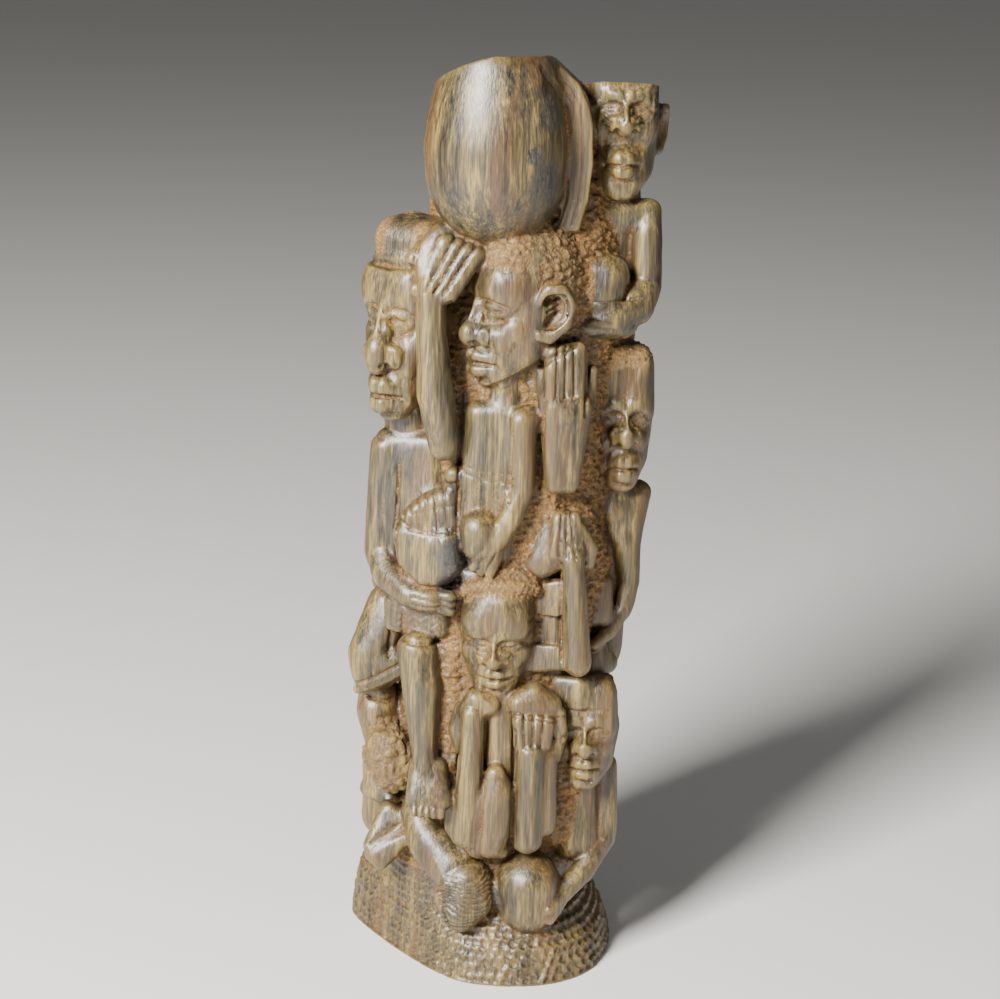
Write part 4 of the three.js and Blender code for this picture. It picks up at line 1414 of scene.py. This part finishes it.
class Nodes:
    """Short calls for the nodes of one tree."""

    def __init__(self, tree):
        self.tree = tree

    def add(self, kind, inputs=(), **settings):
        node = self.tree.nodes.new(kind)
        for name, value in settings.items():
            setattr(node, name, value)
        for name, value in dict(inputs).items():
            self.feed(node.inputs[name], value)
        return node

    def feed(self, socket, value):
        if isinstance(value, bpy.types.NodeSocket):
            self.tree.links.new(value, socket)
        else:
            socket.default_value = value

    def math(self, operation, first, second=0.0, third=0.0):
        node = self.add("ShaderNodeMath", operation=operation)
        for socket, value in zip(node.inputs, (first, second, third)):
            self.feed(socket, value)
        return node.outputs[0]

    def times(self, first, second):
        return self.math("MULTIPLY", first, second)

    def plus(self, first, second):
        return self.math("ADD", first, second)

    def ramp(self, value, low, high):
        """From 0 at the low value to 1 at the high one."""
        node = self.add("ShaderNodeMapRange", {"Value": value, "From Min": low, "From Max": high})
        return node.outputs["Result"]

    def mix(self, factor, first, second, blend="MIX"):
        node = self.add("ShaderNodeMix", data_type="RGBA", blend_type=blend)
        self.feed(node.inputs[0], factor)
        self.feed(node.inputs[6], first)
        self.feed(node.inputs[7], second)
        return node.outputs[2]

    def attribute(self, name):
        return self.add("ShaderNodeAttribute", attribute_name=name).outputs["Fac"]

    def noise(self, vector, scale, detail=4.0, rough=0.55, distortion=0.0):
        node = self.add(
            "ShaderNodeTexNoise",
            {"Vector": vector, "Scale": scale, "Detail": detail, "Roughness": rough,
             "Distortion": distortion})
        return node.outputs["Fac"]


def rgba(colour):
    return (*colour, 1.0)


ALONG_THE_GRAIN = 0.06  # how much the pattern is stretched along the log


def wood_colours(n, finish, place):
    """Streaks along the log: dark, olive and pale, with rust between them."""
    stretch = (1.0, 1.0, ALONG_THE_GRAIN)
    grain_place = n.add("ShaderNodeMapping", {"Vector": place, "Scale": stretch}).outputs["Vector"]
    broad = n.noise(grain_place, 85.0, 3.0, 0.5, 0.5)
    middle = n.noise(grain_place, 330.0, 3.0, 0.6, 0.3)
    fine = n.noise(grain_place, 1250.0, 2.0, 0.6)
    tone = n.plus(n.times(broad, 0.34), n.times(middle, 0.34))
    tone = n.plus(tone, n.times(fine, 0.32))
    colour = n.mix(n.ramp(tone, 0.41, 0.51), rgba(finish.heartwood), rgba(finish.middle_wood))
    colour = n.mix(n.ramp(tone, 0.51, 0.63), colour, rgba(finish.pale_streak_and_highlight))
    rust = n.ramp(n.noise(grain_place, 55.0, 2.0, 0.5, 0.8), 0.54, 0.64)
    return n.mix(n.times(rust, 0.45), colour, rgba(finish.rust)), fine


def recess_colours(n, finish, place, speckle, colour):
    """Painted highlights on the convex edges, and painted shade in the grooves, the ground and sheltered
    places, under specks of dry dust.
    """
    groove = n.attribute("groove")
    # Painted highlight: convex edges are lightened towards the pale streak colour
    edges = n.times(n.ramp(groove, -0.12, -0.7), 0.35)
    colour = n.mix(edges, colour, rgba(finish.pale_streak_and_highlight))
    # Painted shade: this mask darkens the grooves, the ground between the figures and sheltered places, and
    # also carries the dry dust
    dust_and_shade = n.plus(n.times(n.ramp(groove, 0.12, 0.9), 0.8), n.times(n.attribute("ground"), 0.8))
    dust_and_shade = n.plus(dust_and_shade, n.times(n.ramp(n.attribute("shelter"), 0.35, 0.8), 0.35))
    dust_and_shade = n.add("ShaderNodeClamp", {"Value": dust_and_shade}).outputs[0]
    colour = n.mix(n.times(dust_and_shade, 0.85), colour, rgba(finish.recess_shade))
    patches = n.ramp(n.noise(place, 120.0, 3.0, 0.6), 0.35, 0.60)
    dust = n.times(dust_and_shade, n.plus(0.2, n.times(speckle, 0.8)))
    dust = n.times(dust, n.plus(0.35, n.times(patches, 0.65)))
    return n.mix(dust, colour, rgba(finish.recess)), dust


DEEP_SHADE = (0.02, 0.012, 0.007)
BUMP_HEIGHT = 0.0004


def waxed_wood(finish):
    """Dark streaked wood: waxed to a gloss where it stands out, dry and orange in the recesses."""
    material = bpy.data.materials.new("waxed_wood")
    material.use_nodes = True
    material.node_tree.nodes.clear()
    n = Nodes(material.node_tree)
    place = n.add("ShaderNodeTexCoord").outputs["Object"]
    colour, fine = wood_colours(n, finish, place)
    speckle = n.ramp(n.noise(place, 800.0, 3.0, 0.7), 0.42, 0.58)
    colour, dust = recess_colours(n, finish, place, speckle, colour)

    rough = n.attribute("rough")
    hair = n.times(rough, n.plus(0.35, n.times(speckle, 0.5)))
    colour = n.mix(hair, colour, rgba(finish.hair))
    colour = n.mix(n.times(n.attribute("worn"), 0.8), colour, rgba(finish.charcoal))
    # Painted shade: darker where the skin hides more of the sky
    deep = n.times(n.ramp(n.attribute("shelter"), 0.25, 0.9), 0.8)
    colour = n.mix(deep, colour, rgba(DEEP_SHADE))

    dull = n.math("MAXIMUM", dust, rough)
    waxed = n.plus(0.33, n.times(fine, 0.2))
    roughness = n.plus(n.times(dull, 0.40), waxed)
    crumbly = n.times(speckle, n.times(dull, 1.3))
    height = n.plus(n.times(fine, 0.5), crumbly)
    bump = n.add("ShaderNodeBump", {"Strength": 0.8, "Distance": BUMP_HEIGHT, "Height": height})
    shader = n.add(
        "ShaderNodeBsdfPrincipled",
        {"Base Color": colour, "Roughness": roughness, "Normal": bump.outputs["Normal"],
         "Coat Weight": 0.12, "Coat Roughness": 0.27, "Specular IOR Level": 0.7})
    output = n.add("ShaderNodeOutputMaterial")
    n.tree.links.new(shader.outputs[0], output.inputs[0])
    return material


def plain_paint(name, colour, roughness):
    material = bpy.data.materials.new(name)
    material.use_nodes = True
    shader = material.node_tree.nodes["Principled BSDF"]
    shader.inputs["Base Color"].default_value = rgba(colour)
    shader.inputs["Roughness"].default_value = roughness
    return material


# Stage

CAMERA_PLACE = (0.003, -0.950, 0.470)
CAMERA_DOWN = radians(16.04)
CAMERA_ROLL = radians(2.0)
PHOTO_WIDTH = 1000
FOCAL_PIXELS = 2368  # the photograph's focal length in its own pixels
SENSOR = 36.0
FLOOR_SIZE = 30.0
FLOOR_ROUGHNESS = 0.75
AIM = (0, 0, 0.2)
KEY_PLACE, KEY_SIZE, KEY_COLOUR = (-0.75, -1.05, 0.95), 0.45, (1.0, 0.98, 0.94)
FILL_PLACE, FILL_SIZE, FILL_COLOUR = (1.3, -0.9, 0.6), 1.0, (0.9, 0.95, 1.0)
STUDIO_COLOUR, STUDIO_STRENGTH = (0.90, 0.90, 0.88), 0.14


def area_light(name, place, target, size, power, colour):
    light = bpy.data.lights.new(name, "AREA")
    light.energy = power
    light.size = size
    light.color = colour
    lamp = bpy.data.objects.new(name, light)
    lamp.location = place
    lamp.rotation_euler = (Vector(target) - Vector(place)).to_track_quat("-Z", "Y").to_euler()
    bpy.context.scene.collection.objects.link(lamp)


class CARVING_OT_stage(Operator):
    """Makes the floor, the studio lights and the camera at the photograph's angle"""

    bl_idname = "carving.stage"
    bl_label = "Set Stage"

    def execute(self, context):
        scene = context.scene
        look = scene.stage_look
        if look.key_power <= 0:
            raise RuntimeError("the stage needs a key light")
        ground = bmesh.new()
        bmesh.ops.create_grid(ground, x_segments=1, y_segments=1, size=FLOOR_SIZE / 2)
        mesh = bpy.data.meshes.new("floor")
        ground.to_mesh(mesh)
        ground.free()
        mesh.materials.append(plain_paint("pale_floor", look.floor, FLOOR_ROUGHNESS))
        floor = bpy.data.objects.new("floor", mesh)
        scene.collection.objects.link(floor)

        area_light("key", KEY_PLACE, AIM, KEY_SIZE, look.key_power, KEY_COLOUR)
        area_light("fill", FILL_PLACE, AIM, FILL_SIZE, look.fill_power, FILL_COLOUR)
        world = bpy.data.worlds.new("studio")
        world.use_nodes = True
        background = world.node_tree.nodes["Background"]
        background.inputs["Color"].default_value = rgba(STUDIO_COLOUR)
        background.inputs["Strength"].default_value = STUDIO_STRENGTH
        scene.world = world

        lens = bpy.data.cameras.new("camera")
        lens.sensor_width = SENSOR
        lens.lens = FOCAL_PIXELS * SENSOR / PHOTO_WIDTH
        camera = bpy.data.objects.new("camera", lens)
        turn = Matrix.Rotation(pi / 2 - CAMERA_DOWN, 4, "X") @ Matrix.Rotation(CAMERA_ROLL, 4, "Z")
        camera.matrix_world = Matrix.Translation(CAMERA_PLACE) @ turn
        scene.collection.objects.link(camera)
        scene.camera = camera
        return {"FINISHED"}


class CARVING_PT_panel(Panel):
    """The carving's sizes, finishes and steps"""

    bl_idname = "CARVING_PT_panel"
    bl_label = "Carved Column"
    bl_space_type = "VIEW_3D"
    bl_region_type = "UI"
    bl_category = "Carving"

    def draw(self, context):
        for group in (context.scene.column_sizes, context.scene.carver_tools, context.scene.wood_finish,
                      context.scene.stage_look):
            box = self.layout.box()
            for name in group.__annotations__:
                box.prop(group, name)
        for operator in STEPS:
            self.layout.operator(operator.bl_idname)


GROUPS = {
    "column_sizes": ColumnSizes,
    "carver_tools": CarverTools,
    "wood_finish": WoodFinish,
    "stage_look": StageLook,
}
STEPS = (CARVING_OT_stage, CARVING_OT_column)
CLASSES = (*GROUPS.values(), *STEPS, CARVING_PT_panel)


def register():
    for each in CLASSES:
        bpy.utils.register_class(each)
    for name, group in GROUPS.items():
        setattr(bpy.types.Scene, name, PointerProperty(type=group))


def unregister():
    for name in GROUPS:
        delattr(bpy.types.Scene, name)
    for each in reversed(CLASSES):
        bpy.utils.unregister_class(each)


def main():
    register()
    bpy.ops.carving.stage()
    bpy.ops.carving.column()


if __name__ == "__main__":
    main()
